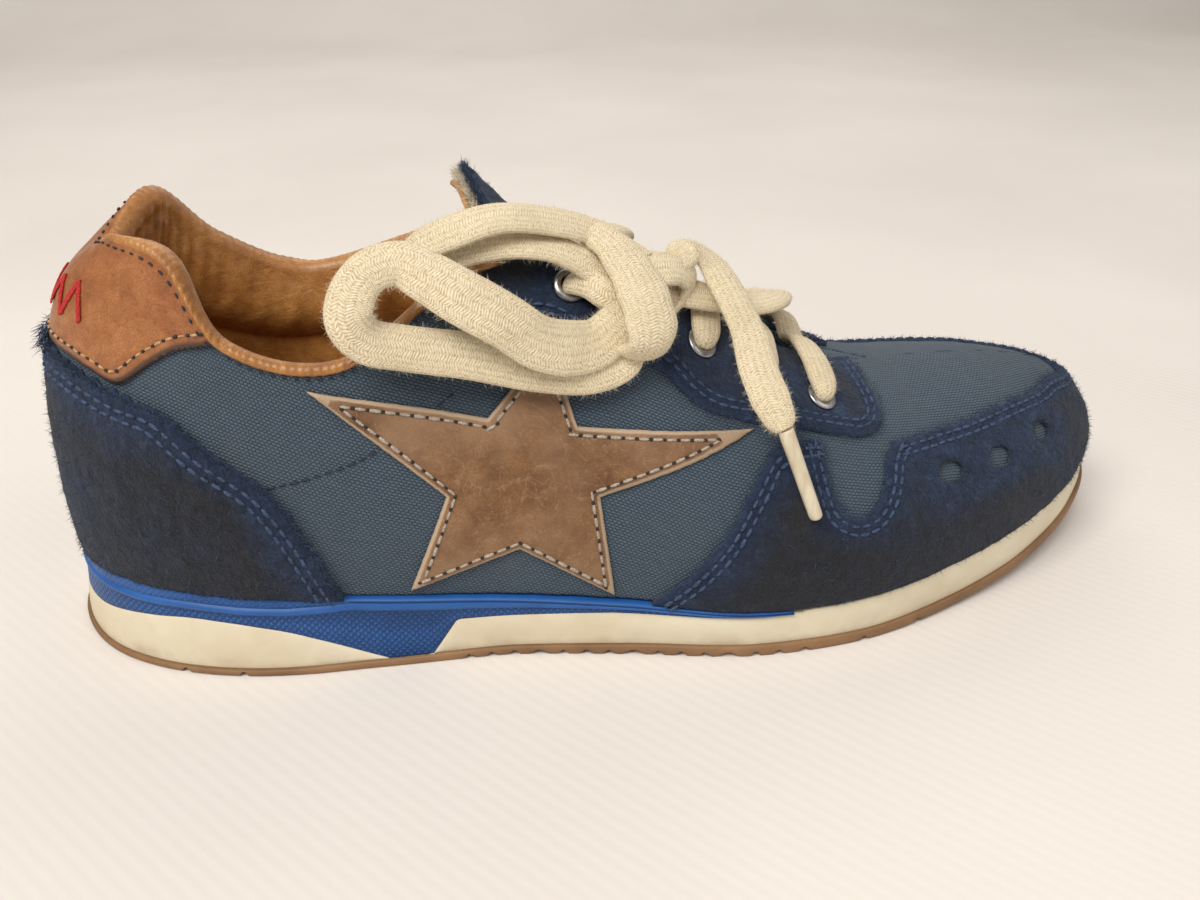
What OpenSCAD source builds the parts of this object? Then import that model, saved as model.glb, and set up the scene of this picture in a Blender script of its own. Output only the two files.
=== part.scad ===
// Retro trainer, right foot: laced and tied, star on the outer side, short zip on the inner side.
// +X points to the toe, +Y to the inner (medial) side, +Z up. The origin is on the ground,
// under the middle of the sole.

/* [Overall size] */
// Length of the outsole from heel to toe
shoe_l = 260; // [245:5:275]
// Width of the sole across the ball
ball_w = 91; // [87:1:95]
// Height of the padded collar at the heel
collar_h = 92; // [88:1:96]

/* [Sole] */
// Thickness of the gum outsole
outsole_t = 3; // [2.5:0.5:3.5]
// Rise of the outsole under the toe tip
toe_spring = 10; // [6:1:12]
// How far the gum rim stands out past the midsole
rim_out = 0.7; // [0.4:0.1:1]
// Thickness of the removable footbed
footbed_t = 3; // [2:0.5:4]

/* [Upper] */
// Thickness of the canvas panels
canvas_t = 0.9; // [0.7:0.1:1]
// Thickness of the suede and leather overlays
overlay_t = 1.2; // [1:0.1:1.4]
// Thickness of the leather star
star_t = 1; // [0.8:0.1:1.2]
// Thickness of the linings
lining_t = 1; // [0.8:0.1:1.2]
// Thickness of the foam in the padded collar
collar_pad_t = 4.5; // [3:0.5:5]

/* [Lacing] */
// Outer diameter of an eyelet
eyelet_d = 7.4; // [7:0.2:8]
// Bore of an eyelet
eyelet_bore = 4.2; // [3.8:0.2:4.4]
// Width of the flat tubular lace
lace_w = 7.6; // [7:0.2:8]
// Thickness of the lace
lace_t = 2.8; // [2.4:0.2:3]
// Diameter of an aglet
aglet_d = 3.4; // [3:0.2:3.6]
// Length of an aglet
aglet_l = 21; // [18:1:22]

/* [Zip] */
// Travel of the slider from closed to open
zip_travel = 28; // [24:1:30]
// Width across the two zip tapes
zip_w = 13; // [12:1:14]
// Distance between teeth
tooth_pitch = 1.8; // [1.6:0.1:2.4]
// Length of the pull tab
pull_l = 13; // [11:1:15]

/* [Hidden] */

gum = "#8a5a2e";
ivory = "#e9dfc8";
royal = "#1f5fb4";
slate = "#4a6078";
navy = "#1f2c44";
cognac = "#a8622f";
tan = "#c99256";
cream = "#e4d8b8";
nickel = "#b9bcc0";
foam = "#d8d2c4";

gap = 0.4;      // air between two layers of the upper
low = 0.015;    // the panels start this far up the profile, just clear of the sole
mid_x = 127;    // the middle of the sole, from the back of the heel
kx = shoe_l / 260;
ky = ball_w / 91;
kz = collar_h / 92;

// The last: one row per station round the shoe, heel back, lateral side, toe tip, medial side.
// Feather point x y z, top point x y z, then the two handles of the profile between them:
// out and up from the feather point, out and up from the top point.
stations = [
    [2, -2, 20, 22, -2, 86, 1, 25, 17, -1],
    [8.5, -18, 20, 27, -13, 90, 2.5, 24, 10, -8],
    [22, -28.5, 20, 38, -23, 89, 2.5, 22, 5, -16],
    [42, -34.5, 19, 47, -29, 73, 1.5, 20, 4, -18],
    [70, -36, 16.5, 68, -30, 68.5, 2, 18, 5, -18],
    [97, -37, 14.7, 92, -20.5, 81.5, 1.5, 24, 9, -22],
    [123, -40, 12.8, 119, -11.5, 82, 1.5, 26, 14, -9],
    [150, -44, 10.6, 147, -10, 64, 2, 24, 18, -5],
    [176, -42.5, 11, 172, -5, 51.5, 2, 20, 20, -2],
    [200, -35, 13, 188, 1, 49, 2, 17, 20, -1],
    [222, -24, 15.5, 212, 5, 47.5, 2.5, 14, 17, -1],
    [241, -9, 17.5, 226, 7, 45.5, 2.5, 11, 13, -2],
    [252.5, 9, 18.5, 234, 8, 43.5, 2, 9, 9, -2.5],
    [243, 26, 18, 226, 7, 45.5, 2.5, 11, 13, -2],
    [222, 38, 16.5, 212, 5, 47.5, 2.5, 14, 18, -1],
    [196, 43, 14, 188, 1, 49, 2, 17, 22, -1],
    [168, 42, 12.5, 170, 8, 52.5, 1.5, 20, 18, -3],
    [138, 35, 14, 143, 12, 66, 0, 24, 13, -7],
    [106, 27, 16, 115, 14.5, 82, -0.5, 26, 9, -14],
    [74, 26, 17, 88, 23, 79, 1, 22, 5, -20],
    [42, 29, 19, 56, 28, 70, 2, 20, 4, -16],
    [21, 25, 20, 37, 23.5, 79, 3, 22, 5, -18],
    [8, 14, 20, 27, 15, 92, 2.5, 24, 10, -10]];
n_st = len(stations);
toe_st = 12;      // the station at the toe tip
throat_lat = 9;   // the throat ends here; from here to throat_med the top points are the ridge
throat_med = 15;

// ---- the surface of the upper ----
function wrap(i) = ((i % n_st) + n_st) % n_st;
function cut(v, a, b) = [for (k = [a:b]) v[k]];
function cubic(a, b, c, d, u) = 0.5 * (2 * b + (c - a) * u + (2 * a - 5 * b + 4 * c - d) * u * u
    + (3 * b - a - 3 * c + d) * u * u * u);
function st_row(i, a, b) = cut(stations[wrap(i)], a, b);
function smooth_row(s, a, b) = let (i = floor(s), u = s - i)
    cubic(st_row(i - 1, a, b), st_row(i, a, b), st_row(i + 1, a, b), st_row(i + 2, a, b), u);
function rim_index(j, i) = i < throat_lat ? min(j, throat_lat)
    : i >= throat_med ? max(j, throat_med) : min(max(j, throat_lat), throat_med);
function rim_row(s) = let (i = wrap(floor(s)), u = s - floor(s))
    cubic(st_row(rim_index(i - 1, i), 3, 5), st_row(rim_index(i, i), 3, 5),
        st_row(rim_index(i + 1, i), 3, 5), st_row(rim_index(i + 2, i), 3, 5), u);
function unit(v) = v / norm(v);
function size_it(p) = [(p[0] - mid_x) * kx, p[1] * ky, p[2] * kz];
function plan_out(s) = let (d = smooth_row(s + 0.05, 0, 2) - smooth_row(s - 0.05, 0, 2))
    unit([d[1], -d[0], 0]);
function last(s, t) = let (b = smooth_row(s, 0, 2), p = rim_row(s), k = smooth_row(s, 6, 9),
    n = plan_out(s), m = 1 - t, p1 = b + n * k[0] + [0, 0, k[1]], p2 = p + n * k[2] + [0, 0, k[3]])
    size_it(m * m * m * b + 3 * m * m * t * p1 + 3 * m * t * t * p2 + t * t * t * p);
function last_normal(s, t) = let (e = 0.02)
    unit(cross(last(s + e, t) - last(s - e, t), last(s, min(t + e, 1)) - last(s, max(t - e, 0))));
function off(s, t, d) = last(s, t) + last_normal(s, t) * d;
function mix(a, b, k) = a + (b - a) * k;

// ---- solids from grids of points ----
// A closed sheet between two grids of the same size
module sheet(outer, inner) {
    nr = len(outer);
    nc = len(outer[0]);
    n = nr * nc;
    pts = concat([for (r = outer, q = r) q], [for (r = inner, q = r) q]);
    function at(i, j, k) = k * n + i * nc + j;
    top = [for (i = [0:nr - 2], j = [0:nc - 2]) each [
        [at(i, j, 0), at(i + 1, j, 0), at(i + 1, j + 1, 0)],
        [at(i, j, 0), at(i + 1, j + 1, 0), at(i, j + 1, 0)]]];
    under = [for (i = [0:nr - 2], j = [0:nc - 2]) each [
        [at(i, j, 1), at(i + 1, j + 1, 1), at(i + 1, j, 1)],
        [at(i, j, 1), at(i, j + 1, 1), at(i + 1, j + 1, 1)]]];
    edge_a = [for (j = [0:nc - 2], i = [0, nr - 1]) each let (f = i == 0)
        [[at(i, j, f ? 0 : 1), at(i, j + 1, f ? 0 : 1), at(i, j + 1, f ? 1 : 0)],
         [at(i, j, f ? 0 : 1), at(i, j + 1, f ? 1 : 0), at(i, j, f ? 1 : 0)]]];
    edge_b = [for (i = [0:nr - 2], j = [0, nc - 1]) each let (f = j == 0)
        [[at(i, j, f ? 1 : 0), at(i + 1, j, f ? 1 : 0), at(i + 1, j, f ? 0 : 1)],
         [at(i, j, f ? 1 : 0), at(i + 1, j, f ? 0 : 1), at(i, j, f ? 0 : 1)]]];
    polyhedron(points = pts, faces = concat(top, under, edge_a, edge_b), convexity = 8);
}

// A solid through a row of closed sections, each with the same number of points
module loft(rings) {
    nr = len(rings);
    nc = len(rings[0]);
    // The two halves of a section are split along opposite diagonals, so that the top of one
    // solid and the bottom of the next are the same triangles
    walls = [for (i = [0:nr - 2], j = [0:nc - 1]) each let (k = (j + 1) % nc, a = i * nc + j,
        b = (i + 1) * nc + j, c = (i + 1) * nc + k, d = i * nc + k)
        2 * j < nc ? [[a, c, b], [a, d, c]] : [[a, d, b], [b, d, c]]];
    ends = [for (j = [1:nc - 2]) each [[0, j + 1, j],
        [(nr - 1) * nc, (nr - 1) * nc + j, (nr - 1) * nc + j + 1]]];
    polyhedron(points = [for (r = rings, q = r) q], faces = concat(walls, ends), convexity = 8);
}

// A panel of the upper: stations s0 to s1, between two edge lines given as [station, height]
// pairs, and between two distances from the surface of the last
module panel(s0, s1, ns, nt, lower, upper, d0, d1) {
    places = [for (i = [0:nt]) [for (j = [0:ns]) let (s = mix(s0, s1, j / ns))
        [s, mix(lookup(s, lower), lookup(s, upper), i / nt)]]];
    sheet([for (r = places) [for (q = r) off(q[0], q[1], d1)]],
        [for (r = places) [for (q = r) off(q[0], q[1], d0)]]);
}

// ---- the sole ----
sole_steps = 26;
sole_f = [for (k = [0:sole_steps]) 0.012 + 0.976 * k / sole_steps];
flare = [[0, 4.6], [2, 4], [3.5, 3.6], [5, 1.4], [7, 2.2], [9, 1.2], [12, 2.4], [15, 1.6],
    [17, 2], [18.5, 1.5], [20, 3.4], [21, 4], [23, 4.6]];
toe_lift = [[0, 0], [180, 0], [200, 0.09], [220, 0.3], [240, 0.66], [256, 1]];
heel_block_top = [[-3, 8.5], [6, 9.5], [17, 12], [30, 13.6], [40, 12.6], [50, 10.5], [60, 6.6], [68, 3]];
fore_block_top = [[80, 3], [86, 10.3], [120, 10.8], [140, 9.8], [153, 9.5], [162, 10.8]];
frame_end_f = 0.635;
heel_end_f = 0.32;
fore_start_f = 0.38;

function side_s(f, side) = side == 0 ? toe_st * f : n_st - (n_st - toe_st) * f;
function feather(s) = smooth_row(s, 0, 2);
function ground(x) = lookup(x, toe_lift) * toe_spring / kz;
function rim_z(x) = ground(x) + outsole_t / kz;
function heel_top(x) = max(lookup(x, heel_block_top), rim_z(x));
frame_min = 0.5;      // thickness of the frame where it runs out
function fore_top(x, zf) = x > 164 ? zf
    : min(max(lookup(x, fore_block_top), rim_z(x)), zf - frame_min);
// Which height of the sole a wall point is at: 0 ground, 1 outsole top, 2 heel block top,
// 3 forefoot block top, 4 feather line, 5 frame bottom
function level_z(s, level) = let (p = feather(s), x = p[0])
    level == 0 ? ground(x) : level == 1 ? rim_z(x) : level == 2 ? heel_top(x)
    : level == 3 ? fore_top(x, p[2]) : level == 4 ? p[2]
    : x < 74 ? heel_top(x) : fore_top(x, p[2]);
function wall_pt(s, z, extra) = let (p = feather(s), g = ground(p[0]),
    h = (z - g) / (p[2] - g), o = mix(lookup(wrap(s), flare), 1, h) + extra)
    size_it([p[0], p[1], 0] + plan_out(s) * o + [0, 0, z]);
function wall_side(s, l0, l1, extra) = let (z0 = level_z(s, l0), z1 = level_z(s, l1))
    [for (k = [0:2]) wall_pt(s, mix(z0, z1, k / 2), extra)];
function sole_ring(f, l0, l1, extra) = let (a = wall_side(side_s(f, 0), l0, l1, extra),
    b = wall_side(side_s(f, 1), l0, l1, extra))
    [a[0], a[1], a[2], mix(a[2], b[2], 0.5), b[2], b[1], b[0], mix(a[0], b[0], 0.5)];
module sole_block(f0, f1, l0, l1, extra) {
    loft([for (f = sole_f) if (f >= f0 && f <= f1) sole_ring(f, l0, l1, extra)]);
}
// A flat layer inside the upper, set in from the feather line and lifted off the midsole
module inner_sole(inset, z0, z1) {
    function edge(s, z) = size_it(feather(s) - plan_out(s) * inset) + [0, 0, z];
    rings = [for (f = sole_f) if (f > 0.03 && f < 0.97)
        let (a = side_s(f, 0), b = side_s(f, 1), al = edge(a, z0), bl = edge(b, z0),
            ah = edge(a, z1), bh = edge(b, z1))
        [al, ah, mix(ah, bh, 0.5), bh, bl, mix(al, bl, 0.5)]];
    loft(rings);
}
module outsole() { color(gum) sole_block(0, 1, 0, 1, rim_out); }
module midsole_heel() { color(ivory) sole_block(0, heel_end_f, 1, 2, 0); }
module midsole_frame() { color(royal) sole_block(0, frame_end_f, 5, 4, 0); }
module midsole_forefoot() { color(ivory) sole_block(fore_start_f, 1, 1, 3, 0); }
module insole_board() { color(foam) inner_sole(4.4, 0.3, 1.6); }
module footbed() { color(tan) inner_sole(5, 1.8, 1.8 + footbed_t); }

// ---- panels of the upper ----
floor_edge = [[-12, low], [24, low]];
top_edge = [[-12, 0.995], [24, 0.995]];
lining_d = -canvas_t - gap - 1 - 0.2;      // outer face of the linings
quarter_front_lat = 7.42;
quarter_front_med = 16.2;
butt = 0.03;      // half the seam between two panels, in stations
module eyelet_holes(places) {
    for (p = places) place_on(p[0], p[1], -5) cylinder(d = eyelet_bore + 0.4, h = 9, $fn = 24);
}
module quarter_lateral() {
    color(slate) difference() {
        panel(0.02, quarter_front_lat - butt, 18, 7, floor_edge, top_edge, -canvas_t, 0);
        eyelet_holes(eyelets_lat);
    }
}
module quarter_medial() {
    color(slate) difference() {
        panel(quarter_front_med + butt, n_st - 0.02, 17, 7, floor_edge, top_edge, -canvas_t, 0);
        eyelet_holes(eyelets_med);
    }
}
module vamp() {
    color(slate) difference() {
        panel(quarter_front_lat + butt, quarter_front_med - butt, 26, 6, floor_edge, top_edge,
            -canvas_t, 0);
        eyelet_holes(concat(eyelets_lat, eyelets_med));
    }
}

// The upper edges of the overlays, on the lateral side, as [station, height] pairs
mudguard_edge = [[6.25, 0.03], [6.5, 0.115], [6.75, 0.225], [7, 0.385], [7.22, 0.52], [7.45, 0.575],
    [7.66, 0.59], [7.74, 0.36], [7.87, 0.325], [8.02, 0.335], [8.16, 0.4], [8.28, 0.52],
    [8.4, 0.575], [9.34, 0.583], [9.93, 0.625], [10.5, 0.655], [11, 0.7], [12, 0.72]];
foxing_edge = [[0, 0.57], [1.2, 0.555], [1.7, 0.55], [2.4, 0.575], [3.05, 0.55], [3.3, 0.485],
    [3.5, 0.34], [3.72, 0.03]];
tab_edge = [[0, 0.59], [1.2, 0.578], [1.6, 0.578], [1.93, 0.665], [2.4, 0.82], [2.82, 0.97]];
eyestay_edge = [[4.75, 0.96], [5.1, 0.88], [5.4, 0.81], [5.65, 0.765], [5.85, 0.69], [6.1, 0.66],
    [6.3, 0.67], [6.48, 0.675], [6.62, 0.635], [6.78, 0.612], [7.1, 0.617], [7.5, 0.628],
    [7.9, 0.618], [8.1, 0.612], [8.27, 0.635], [8.38, 0.69], [8.44, 0.85], [8.48, 0.96]];
function med_edge(e, turn) = [for (k = [len(e) - 1:-1:0]) [turn - e[k][0], e[k][1]]];
toe_turn = toe_st * 2;
both_mudguard = concat(mudguard_edge, cut(med_edge(mudguard_edge, toe_turn), 1, len(mudguard_edge) - 1));
module heel_overlay(edge, s1, d0, d1, over) {
    both = concat(cut(med_edge(edge, 0), 0, len(edge) - 2), edge);
    panel(-s1, s1, 18, 4, over ? both : floor_edge, over ? top_edge : both, d0, d1);
}
vents = [[8.99, 0.405], [9.61, 0.4], [10.27, 0.44]];
vent_r = 2.3;
overlay_in = gap;
overlay_out = gap + overlay_t;
module place_on(s, t, d) {
    n = last_normal(s, t);
    translate(off(s, t, d)) rotate([0, acos(n[2]), atan2(n[1], n[0])]) children();
}
module toe_mudguard() {
    color(navy) difference() {
        panel(6.27, toe_turn - 6.27, 46, 4, floor_edge, both_mudguard, overlay_in, overlay_out);
        for (v = vents, s = [v[0], toe_turn - v[0]])
            place_on(s, v[1], -2) cylinder(r = vent_r, h = 6, $fn = 20);
    }
}
module heel_foxing() { color(navy) heel_overlay(foxing_edge, 3.7, overlay_in, overlay_out, false); }
module heel_tab() { color(cognac) heel_overlay(tab_edge, 2.8, overlay_in, overlay_out, true); }

eyelets_lat = [[7.78, 0.76], [7.27, 0.8], [6.8, 0.835], [6.31, 0.835], [5.82, 0.865]];
eyelets_med = [[16.12, 0.79], [16.55, 0.82], [17.05, 0.85], [17.55, 0.86], [18.02, 0.88]];
eyestay_med_edge = [[15.62, 0.96], [15.66, 0.85], [15.74, 0.69], [15.9, 0.64], [16.2, 0.62],
    [16.7, 0.65], [17.2, 0.68], [17.8, 0.72], [18.3, 0.76], [18.6, 0.9]];
module eyestay_lateral() {
    color(navy) difference() {
        panel(4.8, 8.47, 22, 4, eyestay_edge, top_edge, overlay_in, overlay_out);
        eyelet_holes(eyelets_lat);
    }
}
module eyestay_medial() {
    color(navy) difference() {
        panel(15.63, 18.58, 18, 4, eyestay_med_edge, top_edge, overlay_in, overlay_out);
        eyelet_holes(eyelets_med);
    }
}

// Five-pointed star: its tips and inner corners in turn, as [station, height]
star_points = [[3.7, 0.925], [5.08, 0.59], [5.62, 0.725], [5.75, 0.49], [7.12, 0.595], [5.85, 0.31],
    [5.9, 0.03], [5.15, 0.18], [4.25, 0.045], [4.65, 0.4]];
star_centre = [5.28, 0.4];
module star() {
    n = len(star_points);
    steps = 4;
    outline = [for (k = [0:n - 1], i = [0:steps - 1])
        mix(star_points[k], star_points[(k + 1) % n], i / steps)];
    m = len(outline);
    rows = [0.3, 0.65, 1];
    places = concat([star_centre], [for (r = rows, q = outline) mix(star_centre, q, r)]);
    total = len(places);
    pts = concat([for (q = places) off(q[0], q[1], gap + star_t)],
        [for (q = places) off(q[0], q[1], gap)]);
    function at(r, j, k) = k * total + 1 + r * m + (j % m);
    hub = [for (j = [0:m - 1]) each [[0, at(0, j, 0), at(0, j + 1, 0)],
        [total, at(0, j + 1, 1), at(0, j, 1)]]];
    bands = [for (r = [0:len(rows) - 2], j = [0:m - 1]) each [
        [at(r, j, 0), at(r + 1, j, 0), at(r + 1, j + 1, 0)],
        [at(r, j, 0), at(r + 1, j + 1, 0), at(r, j + 1, 0)],
        [at(r, j, 1), at(r + 1, j + 1, 1), at(r + 1, j, 1)],
        [at(r, j, 1), at(r, j + 1, 1), at(r + 1, j + 1, 1)]]];
    last_row = len(rows) - 1;
    rim = [for (j = [0:m - 1]) each [[at(last_row, j, 0), at(last_row, j, 1), at(last_row, j + 1, 1)],
        [at(last_row, j, 0), at(last_row, j + 1, 1), at(last_row, j + 1, 0)]]];
    color(tan) polyhedron(points = pts, faces = concat(hub, bands, rim), convexity = 8);
}

// ---- inside the upper ----
stiff_d = -canvas_t - gap;      // outer face of the stiffeners
stiff_t = 0.8;
module heel_counter() {
    arc_top = [[-3, 0.2], [-2, 0.45], [0, 0.6], [2, 0.45], [3, 0.2]];
    color(foam) panel(-3, 3, 14, 4, floor_edge, arc_top, stiff_d - stiff_t, stiff_d);
}
module toe_puff() {
    arc_top = [[9.6, 0.25], [10.5, 0.5], [12, 0.65], [13.5, 0.5], [14.4, 0.25]];
    color(foam) panel(9.6, 14.4, 16, 3, floor_edge, arc_top, stiff_d - stiff_t, stiff_d);
}
// The collar foam is thickest behind the ankle and fades out before the eyestays
collar_fill = [[-4.6, 0.1], [-3.6, 0.6], [-2.4, 1], [0, 0.75], [2.4, 1], [3.6, 0.6], [4.6, 0.1]];
function round_s(s) = s > n_st / 2 ? s - n_st : s;
function pad_at(s, t) = let (k = lookup(round_s(s), collar_fill),
    u = min(max((t - 0.62) / 0.38, 0), 1)) collar_pad_t * k * sin(180 * pow(u, 0.8));
foam_slack = 0.3;
module collar_foam() {
    places = [for (i = [0:6]) [for (j = [0:20]) [mix(-4.5, 4.5, j / 20), mix(0.66, 0.96, i / 6)]]];
    color(foam) sheet([for (r = places) [for (q = r) off(q[0], q[1], stiff_d - foam_slack)]],
        [for (r = places) [for (q = r) off(q[0], q[1], lining_d + 2 * foam_slack - pad_at(q[0], q[1]))]]);
}
module lining_quarter() {
    places = [for (i = [0:9]) [for (j = [0:26]) [mix(-5.2, 6, j / 26), mix(low, 0.985, i / 9)]]];
    color(tan) difference() {
        sheet([for (r = places) [for (q = r) off(q[0], q[1], lining_d - pad_at(q[0], q[1]))]],
            [for (r = places) [for (q = r) off(q[0], q[1], lining_d - lining_t - pad_at(q[0], q[1]))]]);
        eyelet_holes(concat(eyelets_lat, eyelets_med));
    }
}
module lining_vamp() {
    color(foam) difference() {
        panel(6.05, 17.75, 36, 5, floor_edge, top_edge, lining_d - lining_t, lining_d);
        eyelet_holes(concat(eyelets_lat, eyelets_med));
    }
}

// ---- swept pieces ----
// Rings round a path: width across, thickness along the guide direction of each point
function sweep_rings(path, guides, w, h, sides) = let (n = len(path)) [for (i = [0:n - 1])
    let (tangent = unit(path[min(i + 1, n - 1)] - path[max(i - 1, 0)]),
        across = unit(cross(tangent, guides[i])), over = cross(across, tangent))
    [for (k = [0:sides - 1]) let (a = 360 * k / sides)
        path[i] + across * cos(a) * w / 2 + over * sin(a) * h / 2]];
function smooth_path(p, steps) = let (n = len(p)) concat(
    [for (i = [0:n - 2], k = [0:steps - 1]) cubic(p[max(i - 1, 0)], p[i], p[i + 1],
        p[min(i + 2, n - 1)], k / steps)], [p[n - 1]]);
module lace(path, guides, steps = 2) {
    color(cream) loft(sweep_rings(smooth_path(path, steps), smooth_path(guides, steps),
        lace_w, lace_t, 8));
}
binding_d = 2;
binding_gap = 0.8;      // from the cut edges of the panels
function binding_at(s) = let (p = last(s, 1)) p + unit(p - last(s, 0.97)) * (binding_d / 2 + binding_gap);
module topline_binding() {
    rail = [for (j = [0:60]) binding_at(mix(-4.3, 5.1, j / 60))];
    ups = [for (q = rail) [0, 0, 1]];
    color(tan) loft(sweep_rings(rail, ups, binding_d, binding_d, 8));
}

// ---- the tongue ----
// Rows down the middle of the tongue, from its root under the vamp to its free top:
// x, y, z, half its width, and how far its sides drop
tongue_rows = [[186, 2, 41.5, 11, 2.5], [172, 2, 45, 14, 4.5], [158, 1.5, 51, 15.5, 6.5],
    [142, 1, 60, 15.5, 8.5], [125, 1, 72, 13.5, 9], [108, 1, 84.5, 12.5, 10], [95, 1, 98, 17, 6]];
tongue_thick = [1.2, 2.6, 0.9];
function tongue_row(f) = let (i = floor(f), n = len(tongue_rows) - 1)
    cubic(tongue_rows[max(i - 1, 0)], tongue_rows[min(i, n)], tongue_rows[min(i + 1, n)],
        tongue_rows[min(i + 2, n)], f - i);
function tongue_at(f, v) = let (r = tongue_row(f)) size_it([r[0], r[1] + r[3] * v, r[2] - r[4] * v * v]);
function tongue_off(f, v, d) = let (e = 0.02,
    n = unit(cross(tongue_at(f, v + e) - tongue_at(f, v - e), tongue_at(f + e, v) - tongue_at(f - e, v))))
    tongue_at(f, v) - n * d;
module tongue_layer(d0, d1, inset) {
    top = len(tongue_rows) - 1;
    places = [for (i = [0:12]) [for (j = [0:8])
        [mix(0.1, top - 0.08 - inset, i / 12), mix(-1 + inset, 1 - inset, j / 8)]]];
    sheet([for (r = places) [for (q = r) tongue_off(q[0], q[1], d0)]],
        [for (r = places) [for (q = r) tongue_off(q[0], q[1], d1)]]);
}
tongue_layer_gap = 0.3;      // air between two layers of the tongue
module tongue_face() { color(navy) tongue_layer(0, tongue_thick[0], 0); }
module tongue_foam() {
    color(foam) tongue_layer(tongue_thick[0] + tongue_layer_gap,
        tongue_thick[0] + tongue_thick[1], 0.06);
}
module tongue_lining() {
    color(tan) tongue_layer(tongue_thick[0] + tongue_thick[1] + tongue_layer_gap,
        tongue_thick[0] + tongue_thick[1] + tongue_thick[2], 0.02);
}

// ---- eyelets and laces ----
module eyelet() {
    rotate_extrude($fn = 28) translate([eyelet_bore / 2, 0])
        polygon([[0, 0], [(eyelet_d - eyelet_bore) / 2, 0], [(eyelet_d - eyelet_bore) / 2, 0.3],
            [(eyelet_d - eyelet_bore) / 2 - 0.5, 0.7], [0.3, 0.7], [0, 0.4]]);
}
module eyelets_lateral() {
    color(nickel) for (p = eyelets_lat) place_on(p[0], p[1], overlay_out + 0.1) eyelet();
}
module eyelets_medial() {
    color(nickel) for (p = eyelets_med) place_on(p[0], p[1], overlay_out + 0.1) eyelet();
}
lace_lift = overlay_out + 0.9 + lace_t / 2;      // middle of a lace lying on an eyestay
function over_tongue(p, q, rise) = let (m = mix(p, q, 0.5)) [m[0], m[1], m[2] + rise];
cross_rise = [-2.5, 1];      // middle of a lace above the throat edges, lower and upper lace
in_throat = 7.5;                // how far inside the throat a lace dives under the opposite edge
dive = 3.7;                   // and how far it drops there
function throat_pt(p, q) = p + unit([0, q[1] - p[1], 0]) * in_throat - [0, 0, dive];
// A lace from the top of eyelet a to the throat edge beside eyelet b, at one of two heights
module lace_diagonal(a, b, rise) {
    ea = off(a[0], 0.995, lace_lift);
    eb = off(b[0], 0.995, lace_lift);
    lace([off(a[0], a[1] + 0.09, lace_lift), ea, over_tongue(ea, eb, rise), throat_pt(eb, ea)],
        [last_normal(a[0], a[1]), last_normal(a[0], 0.98), [0.4, 0, 1], last_normal(b[0], 0.98)]);
}
// The bottom lace runs straight across on top and down into both front eyelets
module lace_bar(a, b) {
    ea = off(a[0], 0.995, lace_lift);
    eb = off(b[0], 0.995, lace_lift);
    lace([off(a[0], a[1] + 0.09, lace_lift), ea, over_tongue(ea, eb, cross_rise[0]), eb,
        off(b[0], b[1] + 0.09, lace_lift)],
        [last_normal(a[0], a[1]), last_normal(a[0], 0.98), [0.4, 0, 1], last_normal(b[0], 0.98),
            last_normal(b[0], b[1])]);
}
module lace_crossings() {
    lace_bar(eyelets_lat[0], eyelets_med[0]);
    for (k = [1:len(eyelets_lat) - 2]) {
        lace_diagonal(eyelets_lat[k], eyelets_med[k + 1], cross_rise[0]);
        lace_diagonal(eyelets_med[k], eyelets_lat[k + 1], cross_rise[1]);
    }
    free_lace(feed_med, [for (q = feed_med) [0.5, 0, 1]]);
}
// The knot, pulled over to the lateral side: its upper and lower middles; x from the heel
knot_top = [130, -20.5, 81];
knot_low = [128, -27, 71];
knot_r = 3.2;
knot_wide = 2.2;      // half the distance between the two rounded sides of the knot
module lace_knot() {
    color(cream) hull() for (q = [knot_top, knot_low], side = [-1, 1])
        translate(size_it(q + [side * knot_wide, 0, 0])) sphere(r = knot_r, $fn = 12);
}
// Routes of the free laces, from the knot outward; x from the heel, like the stations
loop_near = [[122, -28.5, 73], [118, -30, 71], [112, -33, 72], [106, -35, 75], [100, -36, 81],
    [92, -35, 86], [86, -33, 89], [81, -31, 90], [76, -32, 88], [72, -34, 84], [71, -36, 79],
    [74, -36, 75], [81, -35, 72], [93, -33.5, 68.5], [107, -33, 65], [117, -32, 64], [123, -30, 66]];
loop_far = [[124, -15, 85], [119, -14.5, 88], [112, -17, 91], [100, -21, 93.5], [91, -24, 92],
    [85, -25.5, 90], [82, -24.5, 87], [86, -22.5, 84.5], [94, -21.5, 85.5], [103, -20.5, 86],
    [111, -20, 84.5], [116, -20.5, 82.5], [120, -21, 80]];
end_lat = [[136, -16, 81], [140, -12, 82.5], [144, -13, 80], [147, -18, 75.5], [150, -25, 69],
    [151, -32, 63], [153, -37.5, 57.5], [155, -40, 53.5]];
end_med = [[135, -17.5, 76], [141, -16.5, 74], [148, -14, 71.5], [155, -10.5, 69], [161, -5.5, 67.5],
    [164, 2.5, 65.5], [165.5, 11, 62], [164, 19, 59.5], [162, 27, 54.5], [160.5, 33, 48]];
feed_med = [[120, 6.5, 78], [124, 2, 77], [128, -4, 76.5], [130.5, -10, 76]];
function guide_row(n, a, b) = [for (k = [0:n - 1]) mix(a, b, k / (n - 1))];
module free_lace(route, guides) { lace([for (q = route) size_it(q)], guides); }
module lace_loop_near() { free_lace(loop_near, [for (q = loop_near) [0, -1, 0.35]]); }
module lace_loop_far() { free_lace(loop_far, [for (q = loop_far) [0.1, -0.5, 1]]); }
module lace_end_lateral() {
    free_lace(end_lat, guide_row(len(end_lat), [0.3, 0.1, 1], [0, -1, 0.2]));
}
module lace_end_medial() {
    free_lace(end_med, guide_row(len(end_med), [0.2, -0.5, 1], [0, 1, 0.2]));
}
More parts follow.
